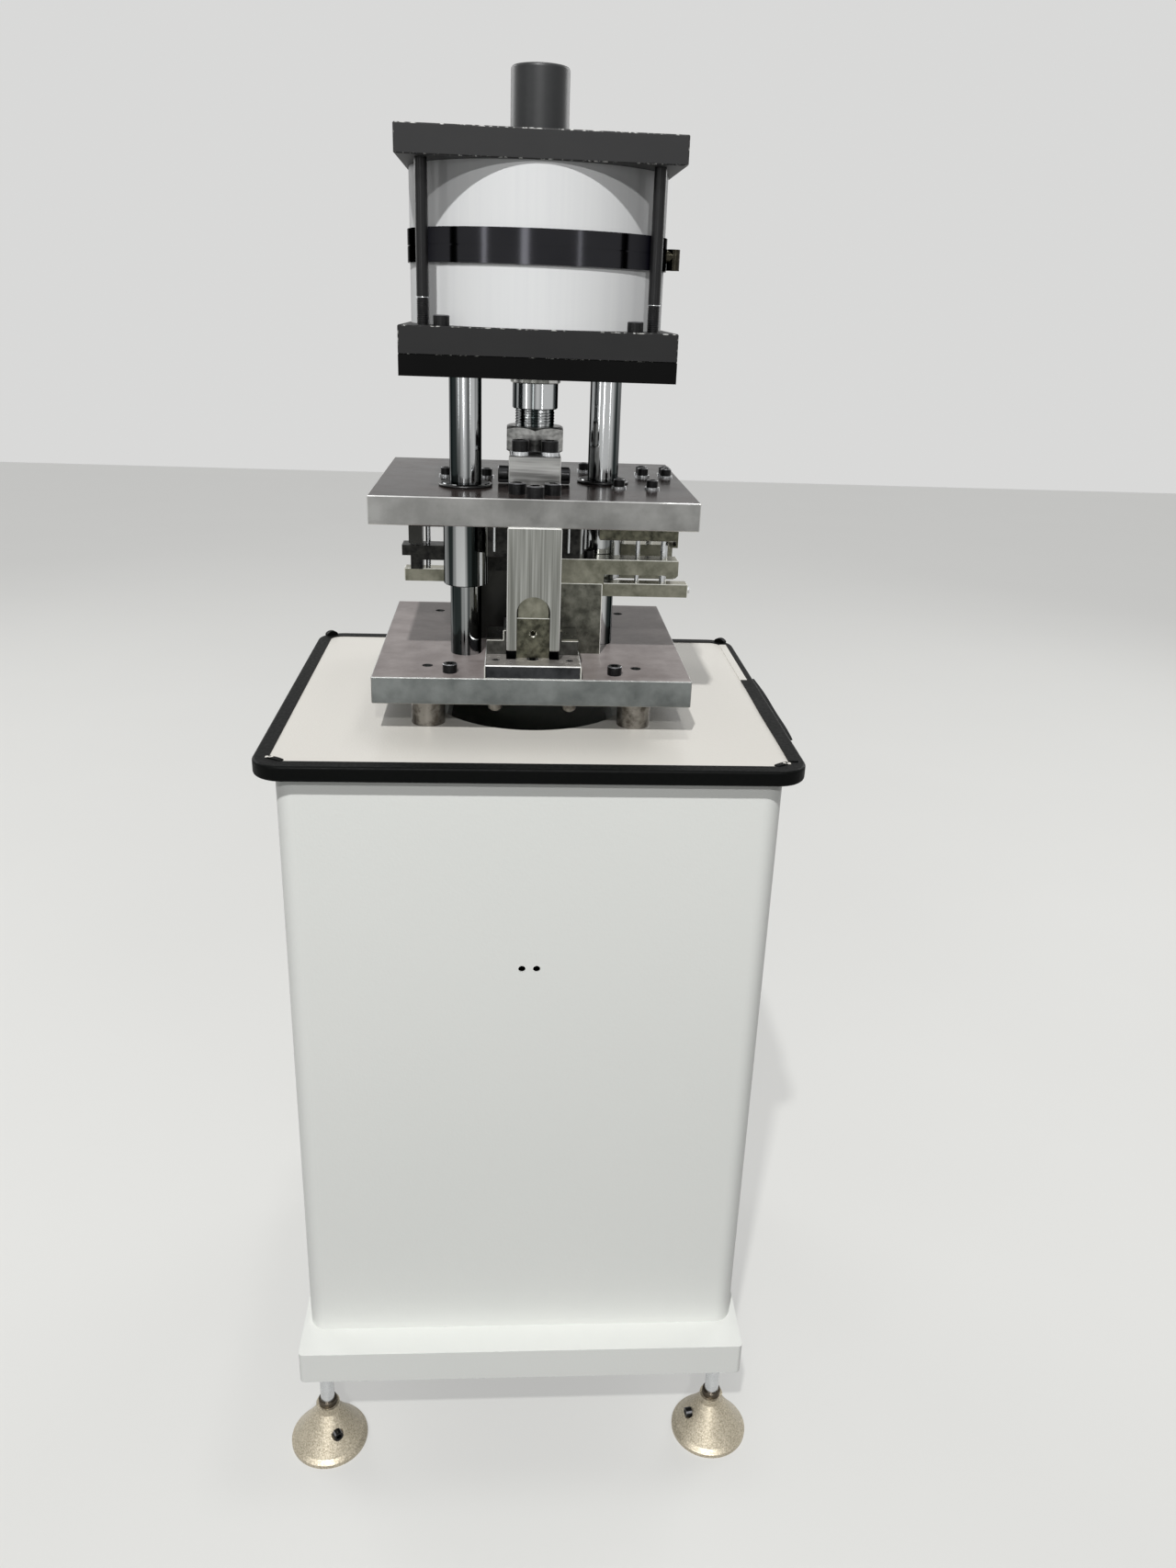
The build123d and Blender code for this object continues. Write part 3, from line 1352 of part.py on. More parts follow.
# Adapter plate and cylinder heads
tie_rod_places = [
    (sx * tie_rod_spacing / 2, ram_y + sy * tie_rod_spacing / 2) for sx in (-1, 1) for sy in (-1, 1)
]
head_screw_places = [
    (sx * head_screw_x, ram_y + sy * head_screw_y) for sx in (-1, 1) for sy in (-1, 1)
]
countersink = post_screw_thread / 2
with BuildPart() as adapter_plate:
    with BuildSketch(Plane.XY.offset(adapter_bottom)):
        with Locations((0, ram_y)):
            Rectangle(cylinder_square, cylinder_square)
            Circle(gland_body_diameter / 2, mode=Mode.SUBTRACT)
        with Locations(*post_places):
            Circle(post_screw_thread / 2, mode=Mode.SUBTRACT)
    extrude(amount=adapter_thickness)
    with BuildSketch(Plane.XY.offset(adapter_bottom)):
        with Locations(*post_places):
            Circle(post_diameter / 2)
    extrude(amount=post_socket, mode=Mode.SUBTRACT)
    with BuildSketch(Plane.XY.offset(adapter_top)):
        with Locations(*post_places):
            Circle(post_screw_thread)
    extrude(amount=-countersink, taper=45, mode=Mode.SUBTRACT)
    with BuildSketch(Plane.XY.offset(adapter_top)):
        with Locations(*head_screw_places):
            Circle(head_screw_thread / 2)
    extrude(amount=-head_screw_engagement, mode=Mode.SUBTRACT)
finish(adapter_plate, "adapter_plate")

head_screw = cap_screw(head_screw_thread, lower_head_thickness + head_screw_engagement)
with BuildPart() as cylinder_screws:
    with Locations(*[(x, y, lower_head_top) for x, y in head_screw_places]):
        add(head_screw)
    with BuildSketch(Plane.XY.offset(post_top - post_screw_depth)):
        with Locations(*post_places):
            Circle(post_screw_thread / 2)
    extrude(amount=adapter_top - post_top + post_screw_depth)
    with BuildSketch(Plane.XY.offset(adapter_top)):
        with Locations(*post_places):
            Circle(post_screw_thread)
    extrude(amount=-countersink, taper=45)
finish(cylinder_screws, "cylinder_screws")

lower_port_z = (adapter_top + lower_head_top) / 2
upper_port_z = (upper_head_bottom + upper_head_top) / 2
flange_port_z = (flange_bottom + flange_top) / 2
feed_y = ram_y + bore_diameter / 2 - port_feed_inset
with BuildPart() as cylinder_lower_head:
    with BuildSketch(Plane.XY.offset(adapter_top)):
        with Locations((0, ram_y)):
            Rectangle(cylinder_square, cylinder_square)
    extrude(amount=lower_head_thickness)
    chamfer(cylinder_lower_head.edges(), edge_break)
    with BuildSketch(Plane.XY.offset(adapter_top)):
        with Locations((0, ram_y)):
            Circle(gland_body_diameter / 2)
        with Locations(*head_screw_places):
            Circle(head_screw_thread / 2 + screw_gap)
    extrude(amount=lower_head_thickness, mode=Mode.SUBTRACT)
    with BuildSketch(Plane.XY.offset(lower_head_top)):
        with Locations((0, ram_y)):
            Circle(gland_flange_diameter / 2)
    extrude(amount=-gland_flange_height, mode=Mode.SUBTRACT)
    with BuildSketch(Plane.XY.offset(lower_head_top)):
        with Locations((0, ram_y)):
            Circle(barrel_diameter / 2)
            Circle(bore_diameter / 2, mode=Mode.SUBTRACT)
    extrude(amount=-barrel_register, mode=Mode.SUBTRACT)
    with BuildSketch(Plane.XY.offset(lower_head_top)):
        with Locations(*tie_rod_places):
            Circle(tie_rod_thread_diameter / 2)
    extrude(amount=-tie_rod_engagement, mode=Mode.SUBTRACT)
    with BuildSketch(Plane.XZ.offset(-ram_y - cylinder_square / 2)):
        with Locations((0, lower_port_z)):
            Circle(port_diameter / 2)
    extrude(amount=port_depth, mode=Mode.SUBTRACT)
    with BuildSketch(Plane.XY.offset(lower_port_z)):
        with Locations((0, feed_y)):
            Circle(port_feed_diameter / 2)
    extrude(amount=lower_head_thickness, mode=Mode.SUBTRACT)
finish(cylinder_lower_head, "cylinder_lower_head")

gland_bottom = adapter_bottom - gland_nose_drop
with BuildPart() as rod_gland:
    with BuildSketch(rod_axis_plane):
        Polygon(
            (rod_diameter / 2 + running_gap, gland_bottom),
            (gland_nose_diameter / 2 - edge_break, gland_bottom),
            (gland_nose_diameter / 2, gland_bottom + edge_break),
            (gland_nose_diameter / 2, adapter_bottom),
            (gland_body_diameter / 2, adapter_bottom),
            (gland_body_diameter / 2, lower_head_top - gland_flange_height),
            (gland_flange_diameter / 2, lower_head_top - gland_flange_height),
            (gland_flange_diameter / 2, lower_head_top),
            (rod_diameter / 2 + running_gap, lower_head_top),
            align=None,
        )
    revolve(axis=rod_axis)
finish(rod_gland, "rod_gland")

with BuildPart() as cylinder_barrels:
    for bottom in (lower_head_top, flange_top):
        with BuildSketch(Plane.XY.offset(bottom - barrel_register)):
            with Locations((0, ram_y)):
                Circle(barrel_diameter / 2)
                Circle(bore_diameter / 2, mode=Mode.SUBTRACT)
        extrude(amount=barrel_height + 2 * barrel_register)
finish(cylinder_barrels, "cylinder_barrels")

flange_radius = middle_flange_diameter / 2
with BuildPart() as middle_flange:
    with BuildSketch(Plane.XY.offset(flange_bottom)):
        with Locations((0, ram_y)):
            Circle(flange_radius)
            Circle(rod_diameter / 2 + running_gap, mode=Mode.SUBTRACT)
    extrude(amount=middle_flange_height)
    for bottom in (flange_bottom, flange_top - barrel_register):
        with BuildSketch(Plane.XY.offset(bottom)):
            with Locations((0, ram_y)):
                Circle(barrel_diameter / 2)
                Circle(bore_diameter / 2, mode=Mode.SUBTRACT)
        extrude(amount=barrel_register, mode=Mode.SUBTRACT)
    with BuildSketch(Plane.XY.offset(flange_port_z - middle_flange_groove / 2)):
        with Locations((0, ram_y)):
            Circle(flange_radius)
            Circle(flange_radius - middle_flange_groove, mode=Mode.SUBTRACT)
    extrude(amount=middle_flange_groove, mode=Mode.SUBTRACT)
    with BuildSketch(Plane.YZ.offset(flange_radius)):
        with Locations((ram_y, flange_port_z)):
            Circle(port_diameter / 2)
    extrude(amount=-port_depth, mode=Mode.SUBTRACT)
    with BuildSketch(Plane.XY.offset(flange_bottom)):
        with Locations((bore_diameter / 2 - port_feed_inset, ram_y)):
            Circle(port_feed_diameter / 2)
    extrude(amount=middle_flange_height / 2, mode=Mode.SUBTRACT)
    with BuildSketch(Plane.XZ.offset(-ram_y - flange_radius)):
        with Locations((0, flange_port_z)):
            Circle(port_diameter / 2)
    extrude(amount=port_depth, mode=Mode.SUBTRACT)
    with BuildSketch(Plane.XY.offset(flange_port_z)):
        with Locations((0, feed_y)):
            Circle(port_feed_diameter / 2)
    extrude(amount=middle_flange_height / 2, mode=Mode.SUBTRACT)
finish(middle_flange, "middle_flange")

elbow_x = flange_radius + elbow_reach - elbow_diameter / 2
with BuildPart() as air_elbow:
    with BuildSketch(Plane.YZ.offset(flange_radius - screw_engagement)):
        with Locations((ram_y, flange_port_z)):
            Circle(port_diameter / 2)
    extrude(amount=screw_engagement)
    with BuildSketch(Plane.YZ.offset(flange_radius)):
        with Locations((ram_y, flange_port_z)):
            Circle(elbow_diameter / 2)
    extrude(amount=elbow_x - flange_radius)
    with BuildSketch(Plane.XY.offset(flange_port_z - elbow_diameter)):
        with Locations((elbow_x, ram_y)):
            Circle(elbow_diameter / 2)
    extrude(amount=elbow_diameter * 1.5)
    with BuildSketch(Plane.XY.offset(flange_port_z - elbow_diameter)):
        with Locations((elbow_x, ram_y)):
            Circle(elbow_bore / 2)
    extrude(amount=elbow_diameter, mode=Mode.SUBTRACT)
    with BuildSketch(Plane.YZ.offset(elbow_x)):
        with Locations((ram_y, flange_port_z)):
            Circle(elbow_bore / 2)
    extrude(amount=flange_radius - screw_engagement - elbow_x, mode=Mode.SUBTRACT)
finish(air_elbow, "air_elbow")

with BuildPart() as cylinder_upper_head:
    with BuildSketch(Plane.XY.offset(upper_head_bottom)):
        with Locations((0, ram_y)):
            Rectangle(cylinder_square, cylinder_square)
    extrude(amount=upper_head_thickness)
    chamfer(cylinder_upper_head.edges(), edge_break)
    with BuildSketch(Plane.XY.offset(upper_head_bottom)):
        with Locations((0, ram_y)):
            Circle(tail_diameter / 2 + running_gap)
        with Locations(*tie_rod_places):
            Circle(tie_rod_thread_diameter / 2)
    extrude(amount=upper_head_thickness, mode=Mode.SUBTRACT)
    with BuildSketch(Plane.XY.offset(upper_head_bottom)):
        with Locations((0, ram_y)):
            Circle(piston_nut_recess / 2)
    extrude(amount=piston_nut_clearance, mode=Mode.SUBTRACT)
    with BuildSketch(Plane.XY.offset(upper_head_bottom)):
        with Locations((0, ram_y)):
            Circle(barrel_diameter / 2)
            Circle(bore_diameter / 2, mode=Mode.SUBTRACT)
    extrude(amount=barrel_register, mode=Mode.SUBTRACT)
    with BuildSketch(Plane.XY.offset(upper_head_top)):
        with Locations((0, ram_y)):
            Circle(cap_diameter / 2)
            Circle(cap_diameter / 2 - cap_wall, mode=Mode.SUBTRACT)
    extrude(amount=-cap_register, mode=Mode.SUBTRACT)
    with BuildSketch(Plane.XY.offset(upper_head_top)):
        with Locations(*tie_rod_places):
            Circle(tie_pocket_diameter / 2)
    extrude(amount=-tie_pocket_depth, mode=Mode.SUBTRACT)
    with BuildSketch(Plane.XZ.offset(-ram_y - cylinder_square / 2)):
        with Locations((0, upper_port_z)):
            Circle(port_diameter / 2)
    extrude(amount=port_depth, mode=Mode.SUBTRACT)
    with BuildSketch(Plane.XY.offset(upper_head_bottom)):
        with Locations((0, feed_y)):
            Circle(port_feed_diameter / 2)
    extrude(amount=upper_head_thickness / 2, mode=Mode.SUBTRACT)
finish(cylinder_upper_head, "cylinder_upper_head")

# Tie rods, their nuts and the cap over the rod's tail
tie_nut_seat = upper_head_top - tie_pocket_depth
with BuildPart() as tie_rods:
    with BuildSketch(Plane.XY.offset(lower_head_top - tie_rod_engagement)):
        with Locations(*tie_rod_places):
            Circle(tie_rod_thread_diameter / 2)
    extrude(amount=tie_nut_seat + tie_nut_height + tie_nut_spare - lower_head_top + tie_rod_engagement)
    with BuildSketch(Plane.XY.offset(lower_head_top + tie_rod_thread_length)):
        with Locations(*tie_rod_places):
            Circle(tie_rod_diameter / 2)
    extrude(amount=upper_head_bottom - lower_head_top - tie_rod_thread_length)
finish(tie_rods, "tie_rods")

tie_nut = hex_nut(tie_nut_across, tie_nut_height, tie_rod_thread_diameter)
with BuildPart() as tie_rod_nuts:
    with Locations(*[(x, y, tie_nut_seat) for x, y in tie_rod_places]):
        add(tie_nut)
finish(tie_rod_nuts, "tie_rod_nuts")

with BuildPart() as top_cap:
    with BuildSketch(Plane.XY.offset(upper_head_top - cap_register)):
        with Locations((0, ram_y)):
            Circle(cap_diameter / 2)
    extrude(amount=cap_top - upper_head_top + cap_register)
    fillet(top_cap.edges().group_by(Axis.Z)[-1], cap_wall * 0.8)
    with BuildSketch(Plane.XY.offset(upper_head_top - cap_register)):
        with Locations((0, ram_y)):
            Circle(cap_diameter / 2 - cap_wall)
    extrude(amount=cap_top - upper_head_top + cap_register - cap_wall, mode=Mode.SUBTRACT)
finish(top_cap, "top_cap")
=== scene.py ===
"""Looks for the window profile punching press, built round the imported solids."""
import math

import bpy
import numpy as np
from mathutils import Matrix, Vector


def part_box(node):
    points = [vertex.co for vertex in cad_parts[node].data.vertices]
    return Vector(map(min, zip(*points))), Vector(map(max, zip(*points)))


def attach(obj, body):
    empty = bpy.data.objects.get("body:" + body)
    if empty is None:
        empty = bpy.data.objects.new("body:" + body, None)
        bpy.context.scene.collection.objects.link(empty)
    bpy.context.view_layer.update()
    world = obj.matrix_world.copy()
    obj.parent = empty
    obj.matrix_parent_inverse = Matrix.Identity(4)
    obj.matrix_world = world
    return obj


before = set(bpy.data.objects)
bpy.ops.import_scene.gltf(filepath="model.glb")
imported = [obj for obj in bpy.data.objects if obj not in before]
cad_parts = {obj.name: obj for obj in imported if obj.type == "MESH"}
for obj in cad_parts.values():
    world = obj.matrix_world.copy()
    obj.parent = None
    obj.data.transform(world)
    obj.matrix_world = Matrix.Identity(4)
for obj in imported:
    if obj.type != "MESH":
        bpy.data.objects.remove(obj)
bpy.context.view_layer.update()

# Camera
# The viewing angle of the photograph, solved from the square plates, the plinth and the table: a wide phone
# lens held 1.4 m above the floor, 1.4 m in front of the middle of the press.
image_width = 1280
focal_pixels = 1306.84
camera_place = Vector((-0.026, -1.4157, 1.406))
camera_yaw = -0.0719
camera_pitch = 0.3836
camera_roll = 0.0369
sensor_width = 36.0

level = Vector((-math.sin(camera_yaw), math.cos(camera_yaw), 0.0))
right = Vector((math.cos(camera_yaw), math.sin(camera_yaw), 0.0))
forward = level * math.cos(camera_pitch) - Vector((0, 0, 1)) * math.sin(camera_pitch)
up = right.cross(forward)
right_rolled = right * math.cos(camera_roll) + up * math.sin(camera_roll)
up_rolled = up * math.cos(camera_roll) - right * math.sin(camera_roll)
camera = bpy.data.objects.new("camera", bpy.data.cameras.new("camera"))
camera.data.sensor_fit = "HORIZONTAL"
camera.data.sensor_width = sensor_width
camera.data.lens = focal_pixels / image_width * sensor_width
camera.matrix_world = Matrix((
    (right_rolled.x, up_rolled.x, -forward.x, camera_place.x),
    (right_rolled.y, up_rolled.y, -forward.y, camera_place.y),
    (right_rolled.z, up_rolled.z, -forward.z, camera_place.z),
    (0, 0, 0, 1),
))
bpy.context.scene.collection.objects.link(camera)
bpy.context.scene.camera = camera


# Floor and light
# A plain pale floor under a pale sky. Two small lamps in front, one high and one low, draw the two arches of
# shadow under the cylinder's square head, and one overhead lights the tops. Three tall strips put upright
# lights in the round parts, and two wide soft lamps light the back.
def linear(code):
    """Turns an sRGB hex colour into the linear colour that a node takes."""
    parts = [int(code[i:i + 2], 16) / 255 for i in (1, 3, 5)]
    return tuple(p / 12.92 if p <= 0.04045 else ((p + 0.055) / 1.055) ** 2.4 for p in parts) + (1.0,)


def add_node(owner, kind, inputs=None, **settings):
    """Adds one shader node with its settings, and links or sets its inputs, by name or by number."""
    node = owner.node_tree.nodes.new("ShaderNode" + kind)
    for name, value in settings.items():
        setattr(node, name, value)
    for name, value in (inputs or {}).items():
        if isinstance(value, bpy.types.NodeSocket):
            owner.node_tree.links.new(value, node.inputs[name])
        else:
            node.inputs[name].default_value = value
    return node


def start_finish(name):
    """Makes an empty material, and gives it with its Object coordinates."""
    material = bpy.data.materials.new(name)
    material.use_nodes = True
    material.node_tree.nodes.clear()
    return material, add_node(material, "TexCoord").outputs["Object"]


def end_finish(material, inputs):
    """Adds the shader, with each input linked or set on its own socket, and the output that shows it."""
    shader = add_node(material, "BsdfPrincipled", inputs)
    add_node(material, "OutputMaterial", {"Surface": shader.outputs[0]})


def cells(millimetres):
    """The scale at which the cells of a texture are as wide as a size in millimetres."""
    return 1000 / millimetres


def seen_directly(owner):
    """A factor that is 1 for the camera's rays and for those that metal or glass sends on, and else 0."""
    rays = add_node(owner, "LightPath").outputs
    seen = add_node(owner, "Math", {0: rays["Is Camera Ray"], 1: rays["Is Glossy Ray"]}, operation="MAXIMUM")
    seen = add_node(
        owner, "Math", {0: seen.outputs[0], 1: rays["Is Transmission Ray"]}, operation="MAXIMUM",
    )
    return seen.outputs[0]


def mesh_piece(name, points, faces, material, smooth=False):
    """Makes an object from an array of points and an array of faces, and links it to the scene."""
    mesh = bpy.data.meshes.new(name)
    mesh.from_pydata(points.reshape(-1, 3).tolist(), [], faces.tolist())
    mesh.polygons.foreach_set("use_smooth", [smooth] * len(mesh.polygons))
    mesh.materials.append(material)
    piece = bpy.data.objects.new(name, mesh)
    bpy.context.scene.collection.objects.link(piece)
    return piece


def add_lamp(name, place, aim, size, power):
    """Adds a rectangular area lamp, of a given width and height and power, that faces a point."""
    lamp = bpy.data.objects.new(name, bpy.data.lights.new(name, "AREA"))
    lamp.data.shape = "RECTANGLE"
    lamp.data.size, lamp.data.size_y = size
    lamp.data.energy = power
    lamp.rotation_euler = (Vector(aim) - Vector(place)).to_track_quat("-Z", "Y").to_euler()
    lamp.location = place
    bpy.context.scene.collection.objects.link(lamp)


floor_half = 9.0
floor_glow = 0.43
floor_paint, place = start_finish("pale_floor")
seen = seen_directly(floor_paint)
cloud = add_node(floor_paint, "TexNoise", {"Vector": place, "Scale": cells(770), "Detail": 3.0}).outputs[0]
pale = add_node(
    floor_paint, "Mix", {0: cloud, 6: linear("#8d8d8a"), 7: linear("#959592")}, data_type="RGBA",
).outputs[2]
# The floor throws less light back on the press than it shows to the camera.
tone = add_node(floor_paint, "Mix", {0: seen, 6: linear("#404040"), 7: pale}, data_type="RGBA").outputs[2]
glow = add_node(floor_paint, "Math", {0: seen, 1: floor_glow}, operation="MULTIPLY").outputs[0]
end_finish(floor_paint, {
    "Base Color": tone, "Roughness": 0.6, "Emission Color": linear("#fafaf8"), "Emission Strength": glow,
})
floor_points = floor_half * np.array([[-1, -1, 0], [1, -1, 0], [1, 1, 0], [-1, 1, 0]])
floor = mesh_piece("floor", floor_points, np.array([[0, 1, 2, 3]]), floor_paint)

sky_light = 0.06
sky_seen = 0.72
world = bpy.data.worlds.new("studio")
world.use_nodes = True
world.node_tree.nodes.clear()
bpy.context.scene.world = world
strength = add_node(world, "Mix", {0: seen_directly(world), 2: sky_light, 3: sky_seen}, data_type="FLOAT")
sky = add_node(world, "Background", {"Color": linear("#fbfbfa"), "Strength": strength.outputs[0]})
add_node(world, "OutputWorld", {"Surface": sky.outputs[0]})

table_middle = (0, 0, 0.9)
die_set_middle = (0, 0, 1.2)
cylinder_front = (0, -0.1, 1.5)
add_lamp("key_lamp", (-1.03, -4.22, 6.2), die_set_middle, size=(0.16, 0.16), power=365)
add_lamp("low_lamp", (0.15, -5.3, 4.2), die_set_middle, size=(0.2, 0.2), power=95)
add_lamp("top_lamp", (0.2, 0.1, 5.5), table_middle, size=(0.3, 0.3), power=36)
add_lamp("left_strip", (-2.2, -2.1, 1.5), cylinder_front, size=(0.2, 1.0), power=3.6)
add_lamp("near_strip", (-0.62, -3.0, 1.5), cylinder_front, size=(0.32, 1.0), power=5.6)
add_lamp("right_strip", (1.7, -2.5, 1.5), cylinder_front, size=(0.12, 1.0), power=1.9)
add_lamp("left_back_lamp", (-3.0, 3.0, 2.8), table_middle, size=(2.2, 2.2), power=55)
add_lamp("right_back_lamp", (3.0, 3.0, 2.8), table_middle, size=(2.2, 2.2), power=55)
bpy.context.scene.view_settings.view_transform = "Standard"


# Levelling feet
# Cast bells with a champagne metal coat over the skin of the sand mould, whose grains are drawn 2 mm wide so
# that they show. Each bell holds a zinc plated stud with a jam nut, and has a black lock screw in its side.
def dress(names, material):
    """Gives every material slot of the named CAD nodes one finish."""
    for name in names:
        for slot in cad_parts[name].material_slots:
            slot.material = material


def clouded_finish(name, cell, detail, tones, inputs, rough=None, bump=None):
    """A finish whose tone drifts between two colours with a cloud of noise, whose cells are in millimetres.

    Where two values of roughness are given, it drifts between them too, and where a strength and a depth in
    metres are given, the cloud raises the surface.
    """
    material, place = start_finish(name)
    noise = add_node(material, "TexNoise", {"Vector": place, "Scale": cells(cell), "Detail": detail})
    cloud = noise.outputs[0]
    low, high = [linear(tone) for tone in tones]
    tone = add_node(material, "Mix", {0: cloud, 6: low, 7: high}, data_type="RGBA")
    inputs = {**inputs, "Base Color": tone.outputs[2]}
    if rough:
        inputs["Roughness"] = add_node(material, "MapRange", {
            "Value": cloud, "From Min": 0.3, "From Max": 0.7, "To Min": rough[0], "To Max": rough[1],
        }).outputs[0]
    if bump:
        raised = add_node(material, "Bump", {"Height": cloud, "Strength": bump[0], "Distance": bump[1]})
        inputs["Normal"] = raised.outputs[0]
    end_finish(material, inputs)
    return material


def broken_edges(material, upright=True):
    """A factor that is 1 on the chamfers of a piece's level edges, and of its upright ones if told to.

    A level edge's chamfer leans 45 degrees, so its normal's |z| is near the sine of 45 degrees. An upright
    edge's normal has x and y alike, so that |x y| is near a half.
    """
    normal = add_node(material, "NewGeometry").outputs["True Normal"]
    x, y, z = add_node(material, "SeparateXYZ", {0: normal}).outputs
    steep = add_node(material, "Math", {0: z}, operation="ABSOLUTE").outputs[0]
    lean = math.sin(math.radians(45))
    lean_spread = 0.15
    level = add_node(material, "Math", {0: steep, 1: lean, 2: lean_spread}, operation="COMPARE").outputs[0]
    if not upright:
        return level
    skew = add_node(material, "Math", {0: x, 1: y}, operation="MULTIPLY").outputs[0]
    skew = add_node(material, "Math", {0: skew}, operation="ABSOLUTE").outputs[0]
    skew_spread = 0.06
    corner = add_node(material, "Math", {0: skew, 1: 0.5, 2: skew_spread}, operation="COMPARE").outputs[0]
    return add_node(material, "Math", {0: level, 1: corner}, operation="MAXIMUM").outputs[0]


bell_coat, place = start_finish("champagne_cast_metal")
sand = add_node(
    bell_coat, "TexNoise", {"Vector": place, "Scale": cells(1.92), "Detail": 4.0, "Roughness": 0.65},
).outputs[0]
cloud = add_node(bell_coat, "TexNoise", {"Vector": place, "Scale": cells(23.8), "Detail": 3.0}).outputs[0]
speck = add_node(bell_coat, "MapRange", {"Value": sand, "From Min": 0.36, "From Max": 0.66}).outputs[0]
hollow_tone, grain_tone = [
    add_node(bell_coat, "Mix", {0: cloud, 6: linear(low), 7: linear(high)}, data_type="RGBA").outputs[2]
    for low, high in (("#948b78", "#aca18c"), ("#d0c6b0", "#e0d7c4"))
]
tone = add_node(bell_coat, "Mix", {0: speck, 6: hollow_tone, 7: grain_tone}, data_type="RGBA")
rough = add_node(
    bell_coat, "MapRange",
    {"Value": cloud, "From Min": 0.3, "From Max": 0.7, "To Min": 0.32, "To Max": 0.46},
)
skin = add_node(bell_coat, "Bump", {"Height": sand, "Strength": 0.5, "Distance": 0.0006})
end_finish(bell_coat, {
    "Base Color": tone.outputs[2], "Metallic": 0.75,
    "Roughness": rough.outputs[0], "Normal": skin.outputs[0],
})
dress(["foot_bells"], bell_coat)

zinc = clouded_finish(
    "bright_zinc_plated_steel", cell=6.25, detail=3.0, tones=("#c0c2c4", "#dcdee0"),
    inputs={"Metallic": 1.0}, rough=(0.2, 0.34),
)
dress(["foot_studs", "foot_jam_nuts"], zinc)

# Black oxide is a thin matt skin, rubbed grey in specks. The chamfered edges of the screw heads are painted
# grey, a painted highlight on their rims.
black_oxide, place = start_finish("black_oxide_steel")
rub = add_node(black_oxide, "TexNoise", {"Vector": place, "Scale": cells(1.43), "Detail": 3.0}).outputs[0]
rubbed = add_node(black_oxide, "MapRange", {"Value": rub, "From Min": 0.6, "From Max": 0.74}).outputs[0]
oxide = add_node(
    black_oxide, "Mix", {0: rubbed, 6: linear("#111112"), 7: linear("#343434")}, data_type="RGBA",
).outputs[2]
# A painted highlight: the chamfers of the screw heads are grey.
edges = broken_edges(black_oxide, upright=False)
tone = add_node(black_oxide, "Mix", {0: edges, 6: oxide, 7: linear("#77777a")}, data_type="RGBA")
rough = add_node(
    black_oxide, "MapRange",
    {"Value": rub, "From Min": 0.3, "From Max": 0.7, "To Min": 0.28, "To Max": 0.42},
)
end_finish(black_oxide, {"Base Color": tone.outputs[2], "Metallic": 0.6, "Roughness": rough.outputs[0]})
dress(["foot_lock_screws"], black_oxide)


# Rings at the necks of the feet
# An oily dark steel ring sits on each bell's neck round the foot of the stud: a closed profile with broken
# edges, turned round the stud's axis.
def grid_faces(rows, columns, close_rows=False, close_columns=False):
    """The four-sided faces of a grid of points; a closed side joins its last line to its first."""
    r = np.arange(rows if close_rows else rows - 1)
    c = np.arange(columns if close_columns else columns - 1)
    r, c = [a.ravel() for a in np.meshgrid(r, c, indexing="ij")]
    r2, c2 = (r + 1) % rows, (c + 1) % columns
    return np.stack([r * columns + c, r * columns + c2, r2 * columns + c2, r2 * columns + c], axis=1)


def repeat_at(points, faces, places):
    """Repeats one piece's points and faces at several places."""
    points = points.reshape(-1, 3)
    shifts = np.array(places)[:, None, :]
    steps = np.arange(len(places))[:, None, None] * len(points)
    return (points[None] + shifts).reshape(-1, 3), (faces[None] + steps).reshape(-1, 4)


def turned_piece(name, profile, places, material, around=40, smooth=False):
    """A piece turned round an upright axis: r(s) cos t, r(s) sin t, z(s) for a closed profile (r, z)."""
    t = np.linspace(0, 2 * math.pi, around, endpoint=False)
    radius, rise = profile[:, :1], profile[:, 1:]
    points = np.stack([radius * np.cos(t), radius * np.sin(t), rise + 0 * t], axis=2)
    faces = grid_faces(len(profile), around, True, True)
    return mesh_piece(name, *repeat_at(points, faces, places), material, smooth)


ring_outer = 0.0118
ring_inner = 0.0086
ring_break = 0.0009
ring_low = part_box("foot_bells")[1][2] - 0.0001
ring_high = ring_low + 0.0079
neck_profile = np.array([
    [ring_outer, ring_low], [ring_outer, ring_high - ring_break], [ring_outer - ring_break, ring_high],
    [ring_inner, ring_high], [ring_inner, ring_low],
])
neck_steel = clouded_finish(
    "oily_dark_steel", cell=4.55, detail=3.0, tones=("#2c2721", "#5a5144"),
    inputs={"Metallic": 0.7, "Roughness": 0.34},
)
stud_low, stud_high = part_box("foot_studs")
stud_radius = 0.009
stud_places = [
    (x, y, 0) for x in (stud_low[0] + stud_radius, stud_high[0] - stud_radius)
    for y in (stud_low[1] + stud_radius, stud_high[1] - stud_radius)
]
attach(turned_piece("foot_neck_rings", neck_profile, stud_places, neck_steel), "frame")


